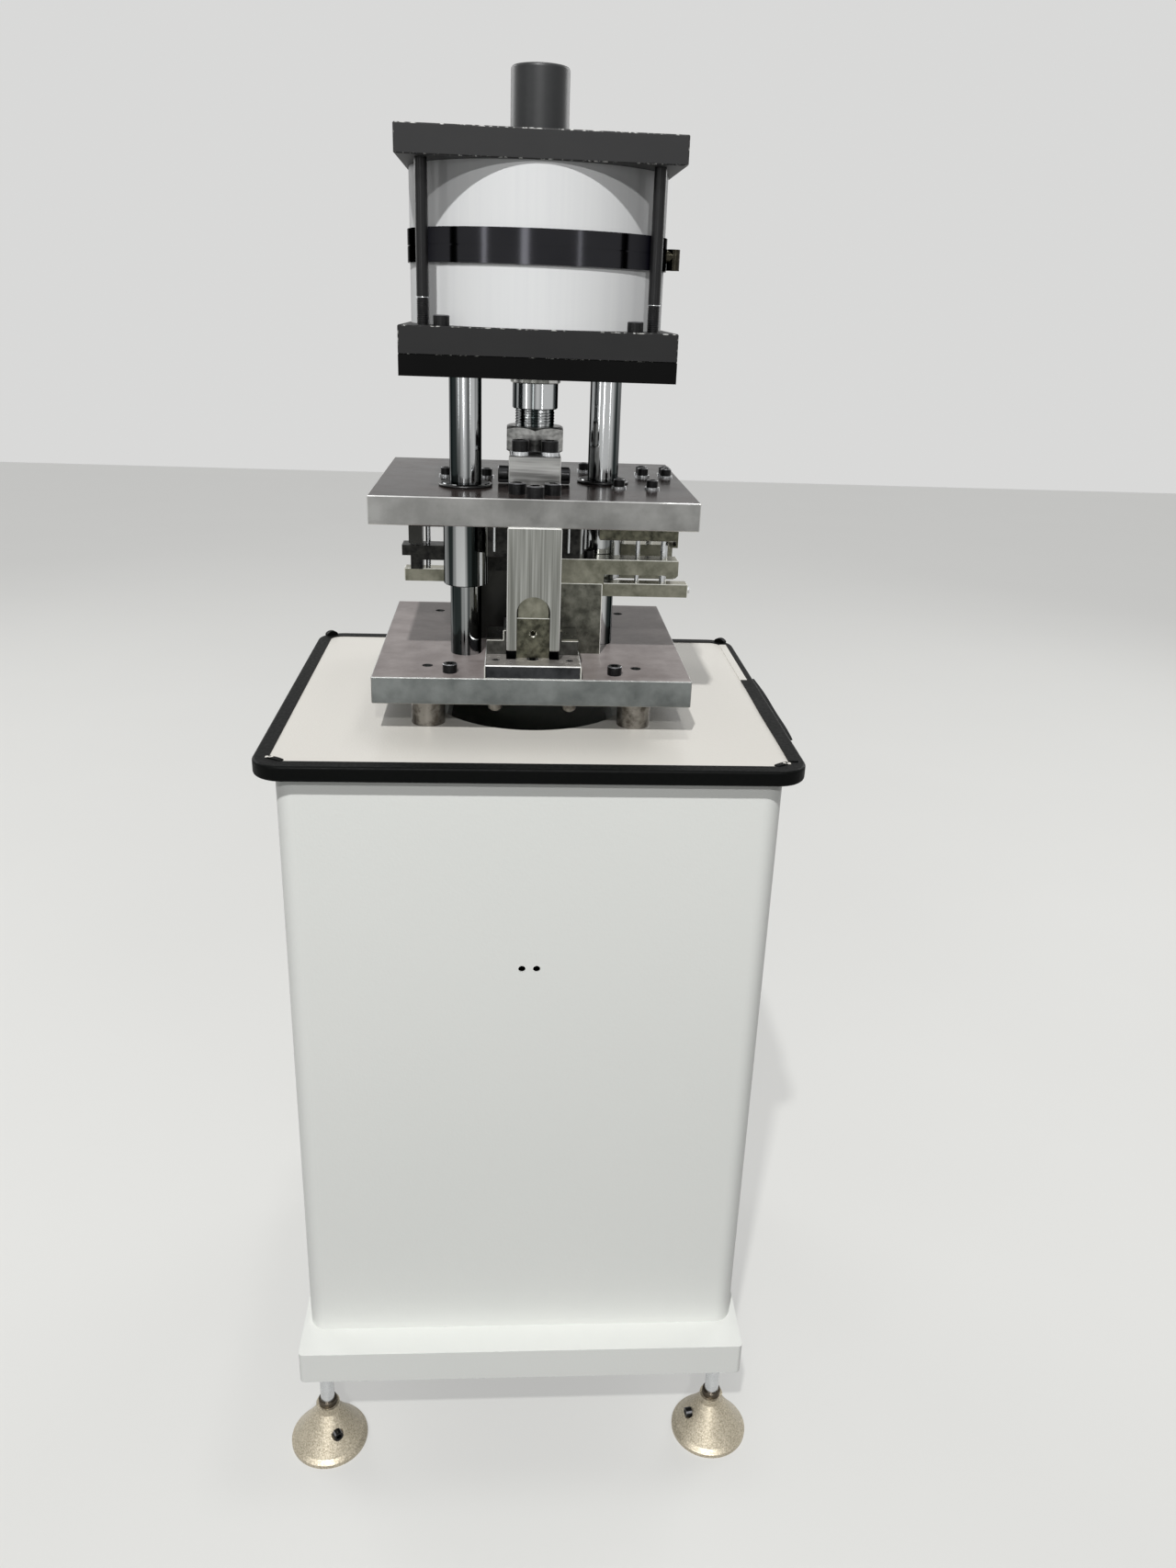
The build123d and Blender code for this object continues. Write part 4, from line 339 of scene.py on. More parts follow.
# Plinth and cabinet
# Folded steel channel and sheet, welded, ground and powder coated off-white. The coat dries with an orange
# peel, drawn 3 mm wide, that catches the light along the round upright corners.
def powder_coat(name, cloud_cell, peel_cell, tones, roughness, strength, depth):
    """Powder coat: a tone that hardly drifts, and an orange peel raised by a bump of a depth in metres."""
    material, place = start_finish(name)
    peel = add_node(
        material, "TexNoise", {"Vector": place, "Scale": cells(peel_cell), "Detail": 2.0, "Roughness": 0.5},
    )
    cloud = add_node(material, "TexNoise", {"Vector": place, "Scale": cells(cloud_cell), "Detail": 2.0})
    low, high = [linear(tone) for tone in tones]
    tone = add_node(material, "Mix", {0: cloud.outputs[0], 6: low, 7: high}, data_type="RGBA")
    coat = add_node(material, "Bump", {"Height": peel.outputs[0], "Strength": strength, "Distance": depth})
    end_finish(material, {
        "Base Color": tone.outputs[2], "Roughness": roughness, "Normal": coat.outputs[0],
    })
    return material


cabinet_coat = powder_coat(
    "off_white_powder_coat", cloud_cell=333, peel_cell=3.03, tones=("#dcdeda", "#e2e3df"), roughness=0.36,
    strength=0.35, depth=0.0004,
)
dress(["plinth_frame", "cabinet_shell", "door_panel", "table_bearers"], cabinet_coat)

# Door furniture
# Hinges with a grainy black coat and plain zinc plated pins, and a satin plated quarter-turn lock whose cam
# catches behind the jamb.
hinge_coat = clouded_finish(
    "black_hinge_coat", cell=1.11, detail=2.0, tones=("#1a1a1b", "#2b2b2c"),
    inputs={"Roughness": 0.45}, bump=(0.3, 0.0002),
)
dress(["cabinet_hinge_leaves", "door_hinge_leaves"], hinge_coat)
lock_plating = clouded_finish(
    "satin_plated_zinc_casting", cell=4.55, detail=3.0, tones=("#a7a8a9", "#c6c7c8"),
    inputs={"Metallic": 1.0}, rough=(0.22, 0.34),
)
dress(["door_lock_body", "door_lock_handle"], lock_plating)
dress(["door_lock_cam", "hinge_pins"], zinc)

# Scrap bin
# Folded galvanised sheet, with the cloudy grey spangle of hot dipped zinc, 9 mm across.
galvanised, place = start_finish("galvanised_sheet")
spangle = add_node(galvanised, "TexVoronoi", {"Vector": place, "Scale": cells(9.09)}).outputs["Distance"]
tone = add_node(
    galvanised, "Mix", {0: spangle, 6: linear("#8f9396"), 7: linear("#b9bdbf")}, data_type="RGBA",
)
rough = add_node(
    galvanised, "MapRange",
    {"Value": spangle, "From Min": 0.1, "From Max": 0.7, "To Min": 0.3, "To Max": 0.5},
)
end_finish(galvanised, {"Base Color": tone.outputs[2], "Metallic": 0.85, "Roughness": rough.outputs[0]})
dress(["scrap_bin"], galvanised)

# Table
# A folded sheet tray in a warmer powder coat than the cabinet's, a little glossier, so that the die set
# shows in it.
table_coat = powder_coat(
    "warm_white_powder_coat", cloud_cell=250, peel_cell=2.63, tones=("#ccc9c2", "#d4d1ca"), roughness=0.3,
    strength=0.45, depth=0.0005,
)
dress(["table_tray"], table_coat)

# Rubber edging
# A black extruded rubber band pressed round the tray's edge, matt and faintly grained. It lies loose in
# places, and its flap is cut, lapped and folded by hand.
edging = clouded_finish(
    "black_extruded_rubber", cell=3.85, detail=4.0, tones=("#030404", "#080908"),
    inputs={"Specular IOR Level": 0.06}, rough=(0.4, 0.56), bump=(0.3, 0.0005),
)
dress(["table_edge_trim"], edging)


def bar_faces(columns):
    """The faces of a four-point profile carried along columns of points, with both ends closed."""
    ends = [[0, columns, 2 * columns, 3 * columns],
            [4 * columns - 1, 3 * columns - 1, 2 * columns - 1, columns - 1]]
    return np.vstack([grid_faces(4, columns, close_rows=True), ends])


tray_x, tray_y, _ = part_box("table_tray")[1]
trim_x, _, flap_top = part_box("table_edge_trim")[1]
t = np.linspace(0, 1, 40)
arc = math.pi * t


def edging_strip(name, path, half_width, below, above, material):
    """A strip: a path x(t), y(t) moved out and in by half a width, with a level underside.

    The underside lies below the flap's top, and the strip's own top above it, by the heights given, and the
    path's z(t) is added to its top.
    """
    run = np.gradient(path[:, :2], axis=0)
    side = np.stack([run[:, 1], -run[:, 0]], axis=1) / np.linalg.norm(run, axis=1)[:, None]
    sway = path[:, 2:3]
    inner = np.hstack([path[:, :2] - side * half_width, sway])
    outer = np.hstack([path[:, :2] + side * half_width, sway])
    low = [0, 0, flap_top - below]
    high = [0, 0, flap_top + above]
    flat = [1, 1, 0]
    points = np.stack([inner * flat + low, outer * flat + low, outer + high, inner + high])
    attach(mesh_piece(name, points, bar_faces(len(path)), material), "frame")


def corner_path(side, end, inset_x, inset_y, turn, half_length, rise):
    """A straight path x + s cos a, y + s sin a across a corner of the tray, set in from its two edges."""
    x = side * (tray_x - inset_x)
    y = end * (tray_y - inset_y)
    along = half_length * (2 * t - 1)
    return np.stack([x + along * math.cos(turn), y + along * math.sin(turn), rise], axis=1)


# The flap's front length on the right lies over the rear length, whose flap is cut back so that the sheet
# shows beside it.
overlap_start, overlap_length = -0.232, 0.292
overlap_rise = 0.0004 + 0.0003 * np.sin(14 * t)
overlap = np.stack([
    tray_x + 0.0003 * np.sin(9 * t), overlap_start + overlap_length * t, overlap_rise,
], axis=1)
edging_strip("edging_overlap", overlap, half_width=0.0052, below=0.0002, above=0.0006, material=edging)
bare_start, bare_length = 0.064, 0.170
bare = np.stack([tray_x - 0.0009 + 0 * t, bare_start + bare_length * t, 0 * t], axis=1)
edging_strip("edging_cut_back", bare, half_width=0.0047, below=0.00095, above=0.0002, material=table_coat)
# The outer lip stands off the band, in a bow.
lip_start, lip_length = -0.150, 0.235
bow = 0.0020 + 0.0015 * np.sin(arc) ** 0.6
lip = np.stack([trim_x + bow, lip_start + lip_length * t, 0.0006 * np.sin(11 * t)], axis=1)
edging_strip("edging_loose_lip", lip, half_width=0.0022, below=0.0052, above=-0.0040, material=edging)

# Where the band was bent round the rear corners it stands up in a small fold. At the front corners a folded
# dart leaves a bright end of the sheet showing.
fold_rise = 0.0045 * np.sin(arc) ** 0.5
dart_rise = 0.0006 * np.sin(arc)
for name, side, inset_x, inset_y, turn in (
    ("edging_fold_left", -1, 0.0025, -0.0015, 0.6), ("edging_fold_right", 1, 0.0015, 0.0005, -0.7),
):
    path = corner_path(side, 1, inset_x, inset_y, turn, 0.008, fold_rise)
    edging_strip(name, path, half_width=0.0034, below=0.0012, above=0.0010, material=edging)
for name, side, inset_x, inset_y, turn in (
    ("edging_dart_left", -1, 0.0120, 0.0110, -0.55), ("edging_dart_right", 1, 0.0135, 0.0105, 0.55),
):
    path = corner_path(side, -1, inset_x, inset_y, turn, 0.009, dart_rise)
    edging_strip(name, path, half_width=0.0030, below=0.0012, above=0.0004, material=edging)
sheet_end_bend = 0.0022
for name, x, y in (
    ("sheet_end_left", -(tray_x - 0.0057), -(tray_y - 0.0133)),
    ("sheet_end_right", tray_x - 0.0085, -(tray_y - 0.0107)),
):
    path = np.stack([
        x + sheet_end_bend * np.cos(arc), y + sheet_end_bend * np.sin(arc), 0.0005 * np.sin(3 * arc),
    ], axis=1)
    edging_strip(name, path, half_width=0.0020, below=-0.0001, above=0.0008, material=table_coat)

# Spacers and their bolts
# Turned steel spacers with brown stains from handling, round plain zinc plated bolts.
stained_steel, place = start_finish("stained_turned_steel")
stain = add_node(
    stained_steel, "TexNoise", {"Vector": place, "Scale": cells(14.3), "Detail": 5.0, "Roughness": 0.6},
).outputs[0]
stains = add_node(stained_steel, "MapRange", {"Value": stain, "From Min": 0.42, "From Max": 0.62}).outputs[0]
tone = add_node(
    stained_steel, "Mix", {0: stains, 6: linear("#8a867f"), 7: linear("#544f48")}, data_type="RGBA",
)
rough = add_node(
    stained_steel, "MapRange",
    {"Value": stain, "From Min": 0.3, "From Max": 0.7, "To Min": 0.3, "To Max": 0.48},
)
end_finish(stained_steel, {"Base Color": tone.outputs[2], "Metallic": 0.9, "Roughness": rough.outputs[0]})
dress(["die_set_spacers"], stained_steel)
dress(["die_set_bolts"], zinc)


# Die plates and their screws
# Ground tool steel with soft grey handling marks, and chamfers bright from wear and a painted highlight. The
# upper plate's top is painted dark, a painted reflection of a dark room, and the lower plate's is finely
# speckled.
def machined_inputs(material, place, cell, tones, top_tones, edge, rough, top_rough, top_metal=None):
    """The shader's inputs for machined steel: mottled, with edges bright from wear and a painted highlight,
    and with its own top, whose tones are painted light and reflection.

    An oily or dirty top looks less like metal, so it may have its own metallic value.
    """
    mottle = add_node(
        material, "TexNoise", {"Vector": place, "Scale": cells(cell), "Detail": 5.0, "Roughness": 0.6},
    ).outputs[0]
    mottled = add_node(
        material, "MapRange", {"Value": mottle, "From Min": 0.35, "From Max": 0.66},
    ).outputs[0]
    normal = add_node(material, "NewGeometry").outputs["True Normal"]
    height = add_node(material, "SeparateXYZ", {0: normal}).outputs[2]
    looks_up = add_node(material, "Math", {0: height, 1: 1.0, 2: 0.1}, operation="COMPARE").outputs[0]
    # The faces looking up get tones of their own: painted light and reflection, lighter or darker than the
    # sides.
    side_tone, top_tone = [
        add_node(material, "Mix", {0: mottled, 6: linear(low), 7: linear(high)}, data_type="RGBA").outputs[2]
        for low, high in (tones, top_tones)
    ]
    side_rough, top_rough = [
        add_node(material, "MapRange", {
            "Value": mottle, "From Min": 0.3, "From Max": 0.7, "To Min": low, "To Max": high,
        }).outputs[0]
        for low, high in (rough, top_rough)
    ]
    tone = add_node(material, "Mix", {0: looks_up, 6: side_tone, 7: top_tone}, data_type="RGBA").outputs[2]
    # The chamfers take the edge tone: a painted highlight along the edges, on top of their wear.
    edge_wear_and_highlight = add_node(
        material, "Mix", {0: broken_edges(material), 6: tone, 7: linear(edge)}, data_type="RGBA",
    )
    gloss = add_node(material, "Mix", {0: looks_up, 2: side_rough, 3: top_rough}, data_type="FLOAT")
    inputs = {"Base Color": edge_wear_and_highlight.outputs[2], "Metallic": 1.0, "Roughness": gloss.outputs[0]}
    if top_metal is not None:
        metal = add_node(material, "Mix", {0: looks_up, 2: 1.0, 3: top_metal}, data_type="FLOAT")
        inputs["Metallic"] = metal.outputs[0]
    return inputs


upper_steel, place = start_finish("ground_tool_steel_painted_dark_top")
# The upper plate's top tones are dark: a painted reflection of a dark room.
inputs = machined_inputs(
    upper_steel, place, cell=38.5, tones=("#7d7d7b", "#929290"), top_tones=("#3b3432", "#564e4c"),
    edge="#d3d3d1", rough=(0.3, 0.44), top_rough=(0.14, 0.24), top_metal=0.45,
)
inputs["Specular Tint"] = (0.25, 0.25, 0.25, 1.0)
end_finish(upper_steel, inputs)
dress(["upper_die_plate"], upper_steel)

lower_steel, place = start_finish("ground_tool_steel")
inputs = machined_inputs(
    lower_steel, place, cell=33.3, tones=("#666a69", "#808483"), top_tones=("#79716f", "#938c8a"),
    edge="#8f908e", rough=(0.3, 0.44), top_rough=(0.3, 0.4), top_metal=0.04,
)
speckle = add_node(lower_steel, "TexNoise", {"Vector": place, "Scale": cells(2.38), "Detail": 3.0})
pits = add_node(lower_steel, "Bump", {"Height": speckle.outputs[0], "Strength": 0.5, "Distance": 0.0004})
inputs["Specular IOR Level"] = 0.12
inputs["Normal"] = pits.outputs[0]
end_finish(lower_steel, inputs)
dress(["lower_die_plate"], lower_steel)
dress(["lower_plate_screws", "upper_plate_screws"], black_oxide)
dress(["screw_washers"], zinc)

# Screw ends under the lower die plate
# Two turned steel screw ends stand out under the plate's front, over the table's hole: a corner profile with
# a chamfer and a small centre bore, turned round an upright axis.
end_radius = 0.0076
end_chamfer = 0.0022
end_bore = 0.0006
plate_front, plate_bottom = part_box("lower_die_plate")[0][1:]
end_high = plate_bottom + 0.0002
end_low = plate_bottom - 0.0105
end_profile = np.array([
    [end_radius, end_low + end_chamfer], [end_radius, end_high], [end_bore, end_high],
    [end_bore, end_low], [end_radius - end_chamfer, end_low],
])
end_places = [(x, plate_front + 0.017, 0) for x in (-0.041, 0.041)]
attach(turned_piece("plate_screw_ends", end_profile, end_places, stained_steel), "frame")


# Guide posts, bushes and piston rod
# Hardened shafts with hard chrome plating, polished along their length. Upright bands of bright and dark, 8
# mm
# wide, are painted reflections: the bands a polished shaft mirrors from the room round it.
def streaks(material, place, marks, detail):
    """A cloud of noise whose cells are as long along x, y and z as three marks in millimetres."""
    drawn = add_node(material, "Mapping", {"Vector": place, "Scale": [cells(mark) for mark in marks]})
    noise = add_node(material, "TexNoise", {"Vector": drawn.outputs[0], "Scale": 1.0, "Detail": detail})
    return noise.outputs[0]


chrome, place = start_finish("hard_chrome_painted_reflections")
# Painted reflections: upright bands, bright and dark, along each shaft.
painted_reflection_bands = streaks(chrome, place, marks=(8.33, 8.33, 1667), detail=1.0)
painted_reflection_band = add_node(chrome, "MapRange", {"Value": painted_reflection_bands, "From Min": 0.42, "From Max": 0.58}).outputs[0]
tone = add_node(chrome, "Mix", {0: painted_reflection_band, 6: linear("#2f3535"), 7: linear("#c9cbcc")}, data_type="RGBA")
end_finish(chrome, {
    "Base Color": tone.outputs[2], "Metallic": 1.0, "Roughness": 0.09,
    "Specular Tint": (0.15, 0.15, 0.15, 1.0),
})
dress(["guide_posts", "guide_bushes", "piston_rod"], chrome)


# Rings at the foot of the guide bushes
# A black rubber ring, shiny with oil, is pressed round the flange of each bush on the upper plate.
def ring_piece(name, places, radius, half_width, half_height, material):
    """A ring: the oval R + a cos s, b sin s turned round an upright axis at each place."""
    s = np.linspace(0, 2 * math.pi, 10, endpoint=False)
    oval = np.stack([radius + half_width * np.cos(s), half_height * np.sin(s)], axis=1)
    return turned_piece(name, oval, places, material, around=48, smooth=True)


ring_rubber = clouded_finish(
    "oiled_black_rubber", cell=3.33, detail=2.0, tones=("#0d0d0d", "#191919"),
    inputs={"Roughness": 0.3},
)
flange_radius = 0.027
bush_low, bush_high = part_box("guide_bushes")
ring_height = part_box("upper_die_plate")[1][2] + 0.0017
bush_places = [
    (bush_low[0] + flange_radius, bush_low[1] + flange_radius, ring_height),
    (bush_high[0] - flange_radius, bush_high[1] - flange_radius, ring_height),
]
bush_rings = ring_piece(
    "bush_foot_rings", bush_places, radius=flange_radius + 0.0008, half_width=0.0022, half_height=0.0016,
    material=ring_rubber,
)
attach(bush_rings, "ram")


# Front die base and anvil holder
# Ground steel. The base's front face is dark, and the holder is dark behind a strip 8 mm deep along its
# front.
# The tops of both are painted lighter for the light on them.
def machined_finish(name, **looks):
    """A finish of machined steel and nothing more."""
    material, place = start_finish(name)
    end_finish(material, machined_inputs(material, place, **looks))
    return material


base_steel = machined_finish(
    "dark_fronted_ground_steel", cell=16.7, tones=("#2c2d2f", "#414244"), top_tones=("#7f7b77", "#a09c98"),
    edge="#d4d4d2", rough=(0.3, 0.42), top_rough=(0.2, 0.3), top_metal=0.4,
)
dress(["front_die_base"], base_steel)
holder_steel, place = start_finish("dull_ground_steel")
inputs = machined_inputs(
    holder_steel, place, cell=8.33, tones=("#32322f", "#4d4d4a"), top_tones=("#9a9791", "#c0bdb7"),
    edge="#d9d9d6", rough=(0.3, 0.44), top_rough=(0.25, 0.35),
)
# The holder is coloured dark behind a strip 8 mm deep along its front.
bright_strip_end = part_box("anvil_holder")[0][1] + 0.008
depth = add_node(holder_steel, "SeparateXYZ", {0: place}).outputs[1]
behind = add_node(holder_steel, "Math", {0: depth, 1: bright_strip_end}, operation="GREATER_THAN").outputs[0]
inputs["Base Color"] = add_node(
    holder_steel, "Mix", {0: behind, 6: inputs["Base Color"], 7: linear("#262624")}, data_type="RGBA",
).outputs[2]
end_finish(holder_steel, inputs)
dress(["anvil_holder"], holder_steel)

# Anvil, die bars and guide plates
# Tool steel with an olive and straw tint from tempering, darker on the anvil, with tops painted lighter for
# the light on them, and one guide plate black.
tempered_looks = {
    "cell": 14.3, "tones": ("#66665a", "#88877a"), "top_tones": ("#8d8a78", "#b9b6a2"), "edge": "#e4e3da",
    "rough": (0.28, 0.4), "top_rough": (0.22, 0.32),
}
tempered = machined_finish("tempered_tool_steel", **tempered_looks)
dress(["side_die_bars", "right_front_guide_plate", "right_rear_guide_plate"], tempered)
anvil_steel = machined_finish(
    "dark_tempered_tool_steel", cell=9.09, tones=("#37372f", "#6a695b"), top_tones=("#7d7a6a", "#b3b09c"),
    edge="#e4e3da", rough=(0.28, 0.4), top_rough=(0.22, 0.32),
)
dress(["notching_anvil"], anvil_steel)
tool_black = machined_finish(
    "black_tool_steel", cell=6.67, tones=("#1b1b1b", "#343432"), top_tones=("#252524", "#3d3d3a"),
    edge="#6c6c68", rough=(0.3, 0.45), top_rough=(0.3, 0.4),
)
dress(["left_guide_plate"], tool_black)
dress(["guide_plate_screws"], black_oxide)
dress(["die_bar_screw"], zinc)

# Side tool blocks, punch holders and punches
# Hardened steel blocks with a dark mottle, painted darker on the left for the shade that falls there, and
# with tops painted lighter for the light on them. The left holder is of the same steel; the holders on the
# right are of the anvil's steel, the punches and pins are bright, the backing block is black.
blocks, place = start_finish("mottled_hardened_steel")
inputs = machined_inputs(
    blocks, place, cell=13.33, tones=("#43433d", "#73736a"), top_tones=("#6a6a62", "#8c8c82"),
    edge="#c6c7bd", rough=(0.28, 0.44), top_rough=(0.25, 0.35),
)
# Painted shade: everything left of the middle is darker, for the shadow on the left tools.
across = add_node(blocks, "SeparateXYZ", {0: place}).outputs[0]
painted_shade_on_left = add_node(blocks, "Math", {0: across, 1: 0.0}, operation="LESS_THAN").outputs[0]
inputs["Base Color"] = add_node(
    blocks, "Mix", {0: painted_shade_on_left, 6: inputs["Base Color"], 7: linear("#363634")}, data_type="RGBA",
).outputs[2]
end_finish(blocks, inputs)
dress(["side_tool_blocks", "left_punch_holder"], blocks)
dress(["right_front_punch_holder", "right_rear_punch_holder"], anvil_steel)
dress(["punch_backing_block"], tool_black)
dress(["side_punches", "centring_pins"], zinc)

# Burnished edges with painted highlights
# The sharp edges of the tools that have no chamfer are rubbed bright and carry a painted highlight: a thin
# bright square bar along each edge, its middle a tenth of a millimetre or two inside the metal.
burnish_and_highlight = clouded_finish(
    "burnished_steel_edge_highlight", cell=3.85, detail=2.0, tones=("#c9c9c2", "#f4f4ee"),
    inputs={"Metallic": 1.0, "Roughness": 0.4},
)
sink = 0.0001


def level_edge(left, right, front, top):
    """The two ends of a level edge along a front."""
    return (left, front + sink, top), (right, front + sink, top)


def upright_edge(x, front, low, high):
    """The two ends of an upright edge at a front."""
    return (x, front + sink, low), (x, front + sink, high)


def burnished_highlight_bars(name, body, edges, half=0.0004):
    """Square bars: each edge's two ends, moved by half a thickness to the four corners round its axis."""
    points = []
    for ends in np.array(edges, dtype=float):
        axis = int(np.argmax(np.abs(ends[1] - ends[0])))
        corner = np.zeros((4, 1, 3))
        corner[:, 0, (axis + 1) % 3] = [-half, -half, half, half]
        corner[:, 0, (axis + 2) % 3] = [-half, half, half, -half]
        points.append(ends[None] + corner)
    faces = bar_faces(2)[None] + 8 * np.arange(len(edges))[:, None, None]
    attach(mesh_piece(name, np.array(points), faces.reshape(-1, 4), burnish_and_highlight), body)


guide_low, guide_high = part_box("right_front_guide_plate")
bars_low, bars_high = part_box("side_die_bars")
block_low, block_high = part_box("side_tool_blocks")
anvil_low, anvil_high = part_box("notching_anvil")
holder_low, holder_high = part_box("anvil_holder")
base_low, base_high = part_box("front_die_base")
left_bar_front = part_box("left_guide_plate")[0][1] + 0.004
anvil_half = anvil_high[0] - 0.00015
step_half = 0.0324
step_top = holder_low[2] + 0.0159
burnished_highlight_bars("tool_edges", "frame", [
    level_edge(guide_low[0], guide_high[0], guide_low[1], guide_high[2] - sink),
    level_edge(block_high[0] + 0.001, bars_high[0], bars_low[1], bars_high[2] - sink),
    level_edge(guide_low[0], block_high[0], block_low[1], block_high[2] - 2 * sink),
    upright_edge(block_high[0] - sink, block_low[1], block_low[2], block_high[2] - 2 * sink),
    level_edge(bars_low[0], block_low[0] - 0.002, left_bar_front, bars_high[2] - 2 * sink),
    level_edge(-anvil_half, anvil_half, anvil_low[1], anvil_high[2] - sink),
    level_edge(holder_low[0] + sink, -step_half, holder_low[1], step_top),
    level_edge(step_half, holder_high[0] - sink, holder_low[1], step_top),
    upright_edge(-step_half, holder_low[1], step_top, holder_high[2] - sink),
    level_edge(-step_half, -0.0298, holder_low[1], holder_high[2] - sink),
    upright_edge(base_low[0] + sink, base_low[1], base_low[2] + 5 * sink, base_high[2] - 5 * sink),
    upright_edge(base_high[0] - sink, base_low[1], base_low[2] + 5 * sink, base_high[2] - 5 * sink),
])


# Arch punch block, coupling and nuts
# Milled steel. The cutter's marks, drawn 3 mm wide so that they show, stand upright on the punch block and
# run across the coupling.
def milled_finish(name, marks, tones, edge):
    """Milled steel, with cutter marks as long along x, y and z as given, and edges bright with wear and a
    painted highlight.
    """
    material, place = start_finish(name)
    cuts = streaks(material, place, marks, detail=3.0)
    cut = add_node(material, "MapRange", {"Value": cuts, "From Min": 0.35, "From Max": 0.68}).outputs[0]
    low, high = [linear(tone) for tone in tones]
    tone = add_node(material, "Mix", {0: cut, 6: low, 7: high}, data_type="RGBA").outputs[2]
    # The chamfers take the edge tone: a painted highlight along the edges, on top of their wear.
    edge_wear_and_highlight = add_node(
        material, "Mix", {0: broken_edges(material), 6: tone, 7: linear(edge)}, data_type="RGBA",
    )
    rough = add_node(
        material, "MapRange",
        {"Value": cuts, "From Min": 0.3, "From Max": 0.7, "To Min": 0.28, "To Max": 0.42},
    )
    end_finish(material, {"Base Color": edge_wear_and_highlight.outputs[2], "Metallic": 1.0, "Roughness": rough.outputs[0]})
    return material


milled = milled_finish(
    "milled_steel", marks=(3.333, 3.333, 167), tones=("#747570", "#a1a29e"), edge="#dededb",
)
dress(["notch_punch_block", "rod_gland", "distance_sleeve"], milled)
planed = milled_finish(
    "cross_milled_steel", marks=(83.3, 3.333, 3.333), tones=("#8a8a88", "#bdbdbb"), edge="#e4e4e2",
)
dress(["coupling_block", "rod_nuts"], planed)

# Plate in the punch block's arch
# A thin plate of tempered steel closes the arch just over the anvil: x = r u, with its top edge on the
# circle r sqrt(1 - u u) over the arch's spring. Its rim along the arch is painted dark, a painted shadow
# where the plate meets the block's arch.
arch_radius = 0.0182
arch_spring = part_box("notch_punch_block")[0][2] + 0.042
arch_low = anvil_high[2] + 0.0006
arch_back = anvil_low[1] - 0.0002
arch_front = arch_back - 0.0008
u = np.sin(np.linspace(-math.pi / 2, math.pi / 2, 41))
arch_high = arch_spring + arch_radius * np.sqrt(1 - u * u)
points = np.stack([
    np.stack([arch_radius * u, y + 0 * u, z + 0 * u], axis=1)
    for y, z in (
        (arch_back, arch_low), (arch_front, arch_low), (arch_front, arch_high), (arch_back, arch_high),
    )
])
arch_steel, place = start_finish("tempered_steel_painted_rim_shadow")
inputs = machined_inputs(arch_steel, place, **tempered_looks)
# Painted shadow: a dark rim along the arch, where the plate meets the block.
rim_radius = arch_radius - 0.0016
across, _, height = add_node(arch_steel, "SeparateXYZ", {0: place}).outputs
over = add_node(arch_steel, "Math", {0: height, 1: arch_spring}, operation="SUBTRACT").outputs[0]
over = add_node(arch_steel, "Math", {0: over, 1: 0.0}, operation="MAXIMUM").outputs[0]
from_centre = add_node(arch_steel, "CombineXYZ", {0: across, 1: over}).outputs[0]
reach = add_node(arch_steel, "VectorMath", {0: from_centre}, operation="LENGTH").outputs["Value"]
painted_shadow_rim = add_node(arch_steel, "Math", {0: reach, 1: rim_radius}, operation="GREATER_THAN").outputs[0]
inputs["Base Color"] = add_node(
    arch_steel, "Mix", {0: painted_shadow_rim, 6: inputs["Base Color"], 7: linear("#1b1a16")}, data_type="RGBA",
).outputs[2]
end_finish(arch_steel, inputs)
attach(mesh_piece("arch_back_plate", points, bar_faces(len(u)), arch_steel), "ram")


# Cylinder heads and adapter
# Black coated steel. The coat of the satin heads and of the rough adapter is chipped to bare metal in spots
# along the edges.
def chipped_black(name, tones, bare, start, roughness, specular=0.2):
    """Black coat whose broken edges show bare metal, in the spots where a noise rises past its start."""
    material, place = start_finish(name)
    cloud = add_node(material, "TexNoise", {"Vector": place, "Scale": cells(41.7), "Detail": 4.0}).outputs[0]
    spots = add_node(
        material, "TexNoise", {"Vector": place, "Scale": cells(5.26), "Detail": 4.0, "Roughness": 0.65},
    ).outputs[0]
    chips = add_node(material, "MapRange", {"Value": spots, "From Min": start, "From Max": start + 0.05})
    edge_wear_and_highlight = add_node(
        material, "Math", {0: chips.outputs[0], 1: broken_edges(material)}, operation="MULTIPLY",
    ).outputs[0]
    low, high = [linear(tone) for tone in tones]
    coat = add_node(material, "Mix", {0: cloud, 6: low, 7: high}, data_type="RGBA").outputs[2]
    tone = add_node(material, "Mix", {0: edge_wear_and_highlight, 6: coat, 7: linear(bare)}, data_type="RGBA")
    end_finish(material, {
        "Base Color": tone.outputs[2], "Roughness": roughness, "Specular IOR Level": specular,
    })
    return material


upper_black = chipped_black(
    "satin_black_head", tones=("#262627", "#2d2d2d"), bare="#b0b0ad", start=0.54, roughness=0.5,
)
dress(["cylinder_upper_head"], upper_black)
lower_black = chipped_black(
    "worn_black_head", tones=("#1a1a1b", "#222222"), bare="#a5a5a2", start=0.54, roughness=0.5,
)
dress(["cylinder_lower_head"], lower_black)
adapter_black = chipped_black(
    "rough_black_adapter", tones=("#060606", "#0c0c0c"), bare="#8d8d8a", start=0.5, roughness=0.6,
    specular=0.05,
)
dress(["adapter_plate"], adapter_black)
dress(["cylinder_screws"], black_oxide)

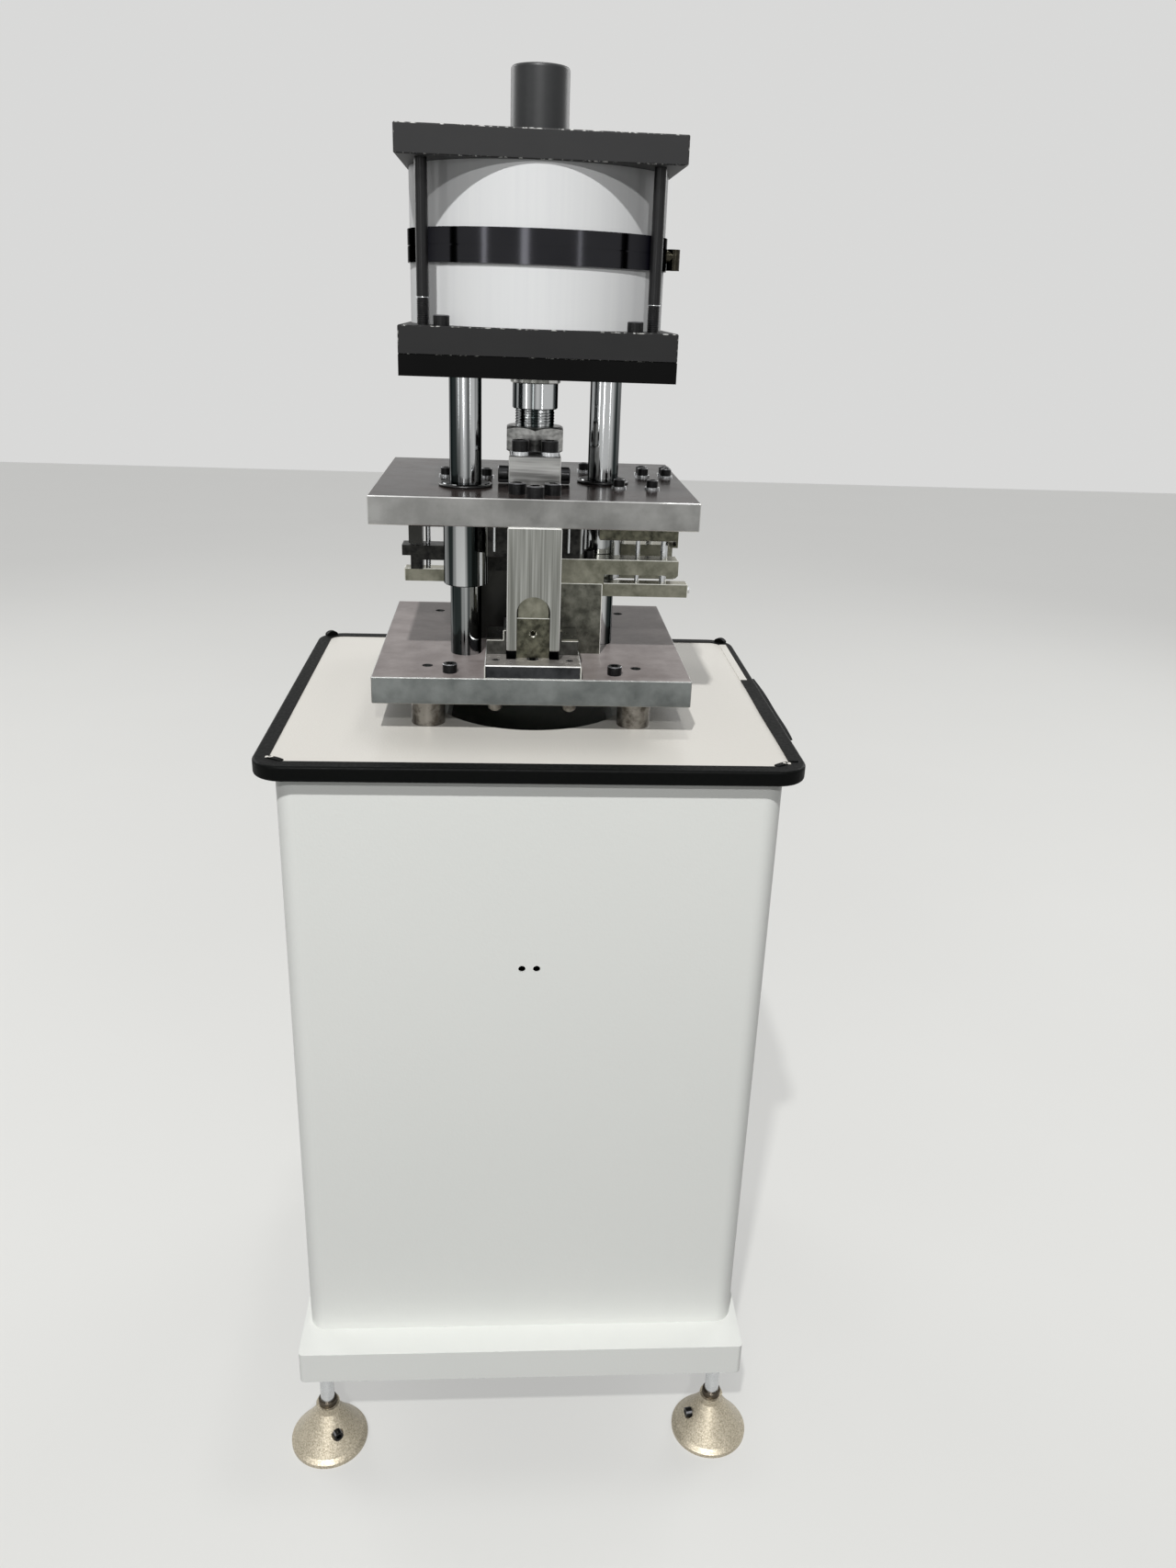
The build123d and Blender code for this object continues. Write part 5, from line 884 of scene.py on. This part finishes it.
# Middle flange, tie rods and cap
# Gloss black coat on the flange, which mirrors the upright lights, satin black rods with sunk black nuts,
# and a matt black cap of pressed sheet.
gloss_black = clouded_finish(
    "gloss_black_coat", cell=40, detail=2.0, tones=("#2c2c2f", "#363639"),
    inputs={"Metallic": 1.0, "Specular Tint": (0.05, 0.05, 0.05, 1.0), "Roughness": 0.14},
)
dress(["middle_flange"], gloss_black)
rod_black = clouded_finish(
    "satin_black_rod", cell=16.7, detail=2.0, tones=("#101011", "#181819"),
    inputs={"Roughness": 0.3, "Specular IOR Level": 0.25},
)
dress(["tie_rods"], rod_black)
dress(["tie_rod_nuts"], black_oxide)
cap_paint = clouded_finish(
    "matt_black_cap", cell=8.33, detail=3.0, tones=("#1c1d1e", "#252627"),
    inputs={"Roughness": 0.42, "Specular IOR Level": 0.45},
)
dress(["top_cap"], cap_paint)


# Screw threads
# The lower ends of the tie rods and the free length of the piston rod over its lock nut are cut with a
# thread, a ridge that winds up round the plain core. A bright ring shows where each tie rod's thread ends.
def screw_thread(name, places, core, crest, pitch, length, steps, material):
    """A ridge r(s), z(s) + pitch t / 2 pi, where s runs round a four-point profile and t round the core."""
    turns = length / pitch - 1
    t = np.linspace(0, 2 * math.pi * turns, int(turns * steps))
    root = core - 0.0003
    radius = np.array([root, crest, crest, root])[:, None] + 0 * t
    rise = np.array([0, 0.36, 0.64, 1.0])[:, None] * pitch + pitch * t / (2 * math.pi)
    points = np.stack([radius * np.cos(t), radius * np.sin(t), rise], axis=2)
    return mesh_piece(name, *repeat_at(points, bar_faces(len(t)), places), material)


head_low, head_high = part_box("cylinder_lower_head")
ram_y = (head_low[1] + head_high[1]) / 2
rod_radius = 0.006
rod_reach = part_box("tie_rods")[1][0] - rod_radius
thread_length = 0.025
rod_feet = [(x, ram_y + y, head_high[2]) for x in (-rod_reach, rod_reach) for y in (-rod_reach, rod_reach)]
tie_rod_threads = screw_thread(
    "tie_rod_threads", rod_feet, core=0.0055, crest=0.00605, pitch=0.00175, length=thread_length, steps=20,
    material=rod_black,
)
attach(tie_rod_threads, "frame")
ring_places = [(x, y, z + thread_length + 0.0004) for x, y, z in rod_feet]
thread_ends = ring_piece(
    "tie_rod_thread_ends", ring_places, radius=0.0056, half_width=0.0007, half_height=0.0005, material=zinc,
)
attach(thread_ends, "frame")
lock_nut_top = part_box("coupling_block")[1][2] + 0.028
rod_thread = screw_thread(
    "piston_rod_thread", [(0, ram_y, lock_nut_top + 0.0002)], core=0.021, crest=0.0217, pitch=0.003,
    length=0.0175, steps=40, material=chrome,
)
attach(rod_thread, "ram")

# Barrels and pistons
# Light anodised aluminium tube, matt, with the faint drawing lines of the extrusion, drawn 6 mm wide so that
# they show, and pistons with black rubber seals.
anodised, place = start_finish("light_anodised_aluminium")
drawn = streaks(anodised, place, marks=(6.25, 6.25, 250), detail=3.0)
tone = add_node(anodised, "Mix", {0: drawn, 6: linear("#d2d3d4"), 7: linear("#dbdcdb")}, data_type="RGBA")
end_finish(anodised, {"Base Color": tone.outputs[2], "Roughness": 0.6, "Specular IOR Level": 0.2})
dress(["cylinder_barrels", "pistons"], anodised)
seal_rubber = clouded_finish(
    "black_nitrile_rubber", cell=3.33, detail=2.0, tones=("#131313", "#1f1f1f"),
    inputs={"Roughness": 0.5},
)
dress(["piston_seals"], seal_rubber)

# Air elbow
# Nickel plated brass, dark and shiny, with patches where the plating has dulled.
brass = clouded_finish(
    "dark_nickel_plated_brass", cell=4.17, detail=3.0, tones=("#0d0c0a", "#4b483e"),
    inputs={"Metallic": 1.0}, rough=(0.12, 0.24),
)
dress(["air_elbow"], brass)
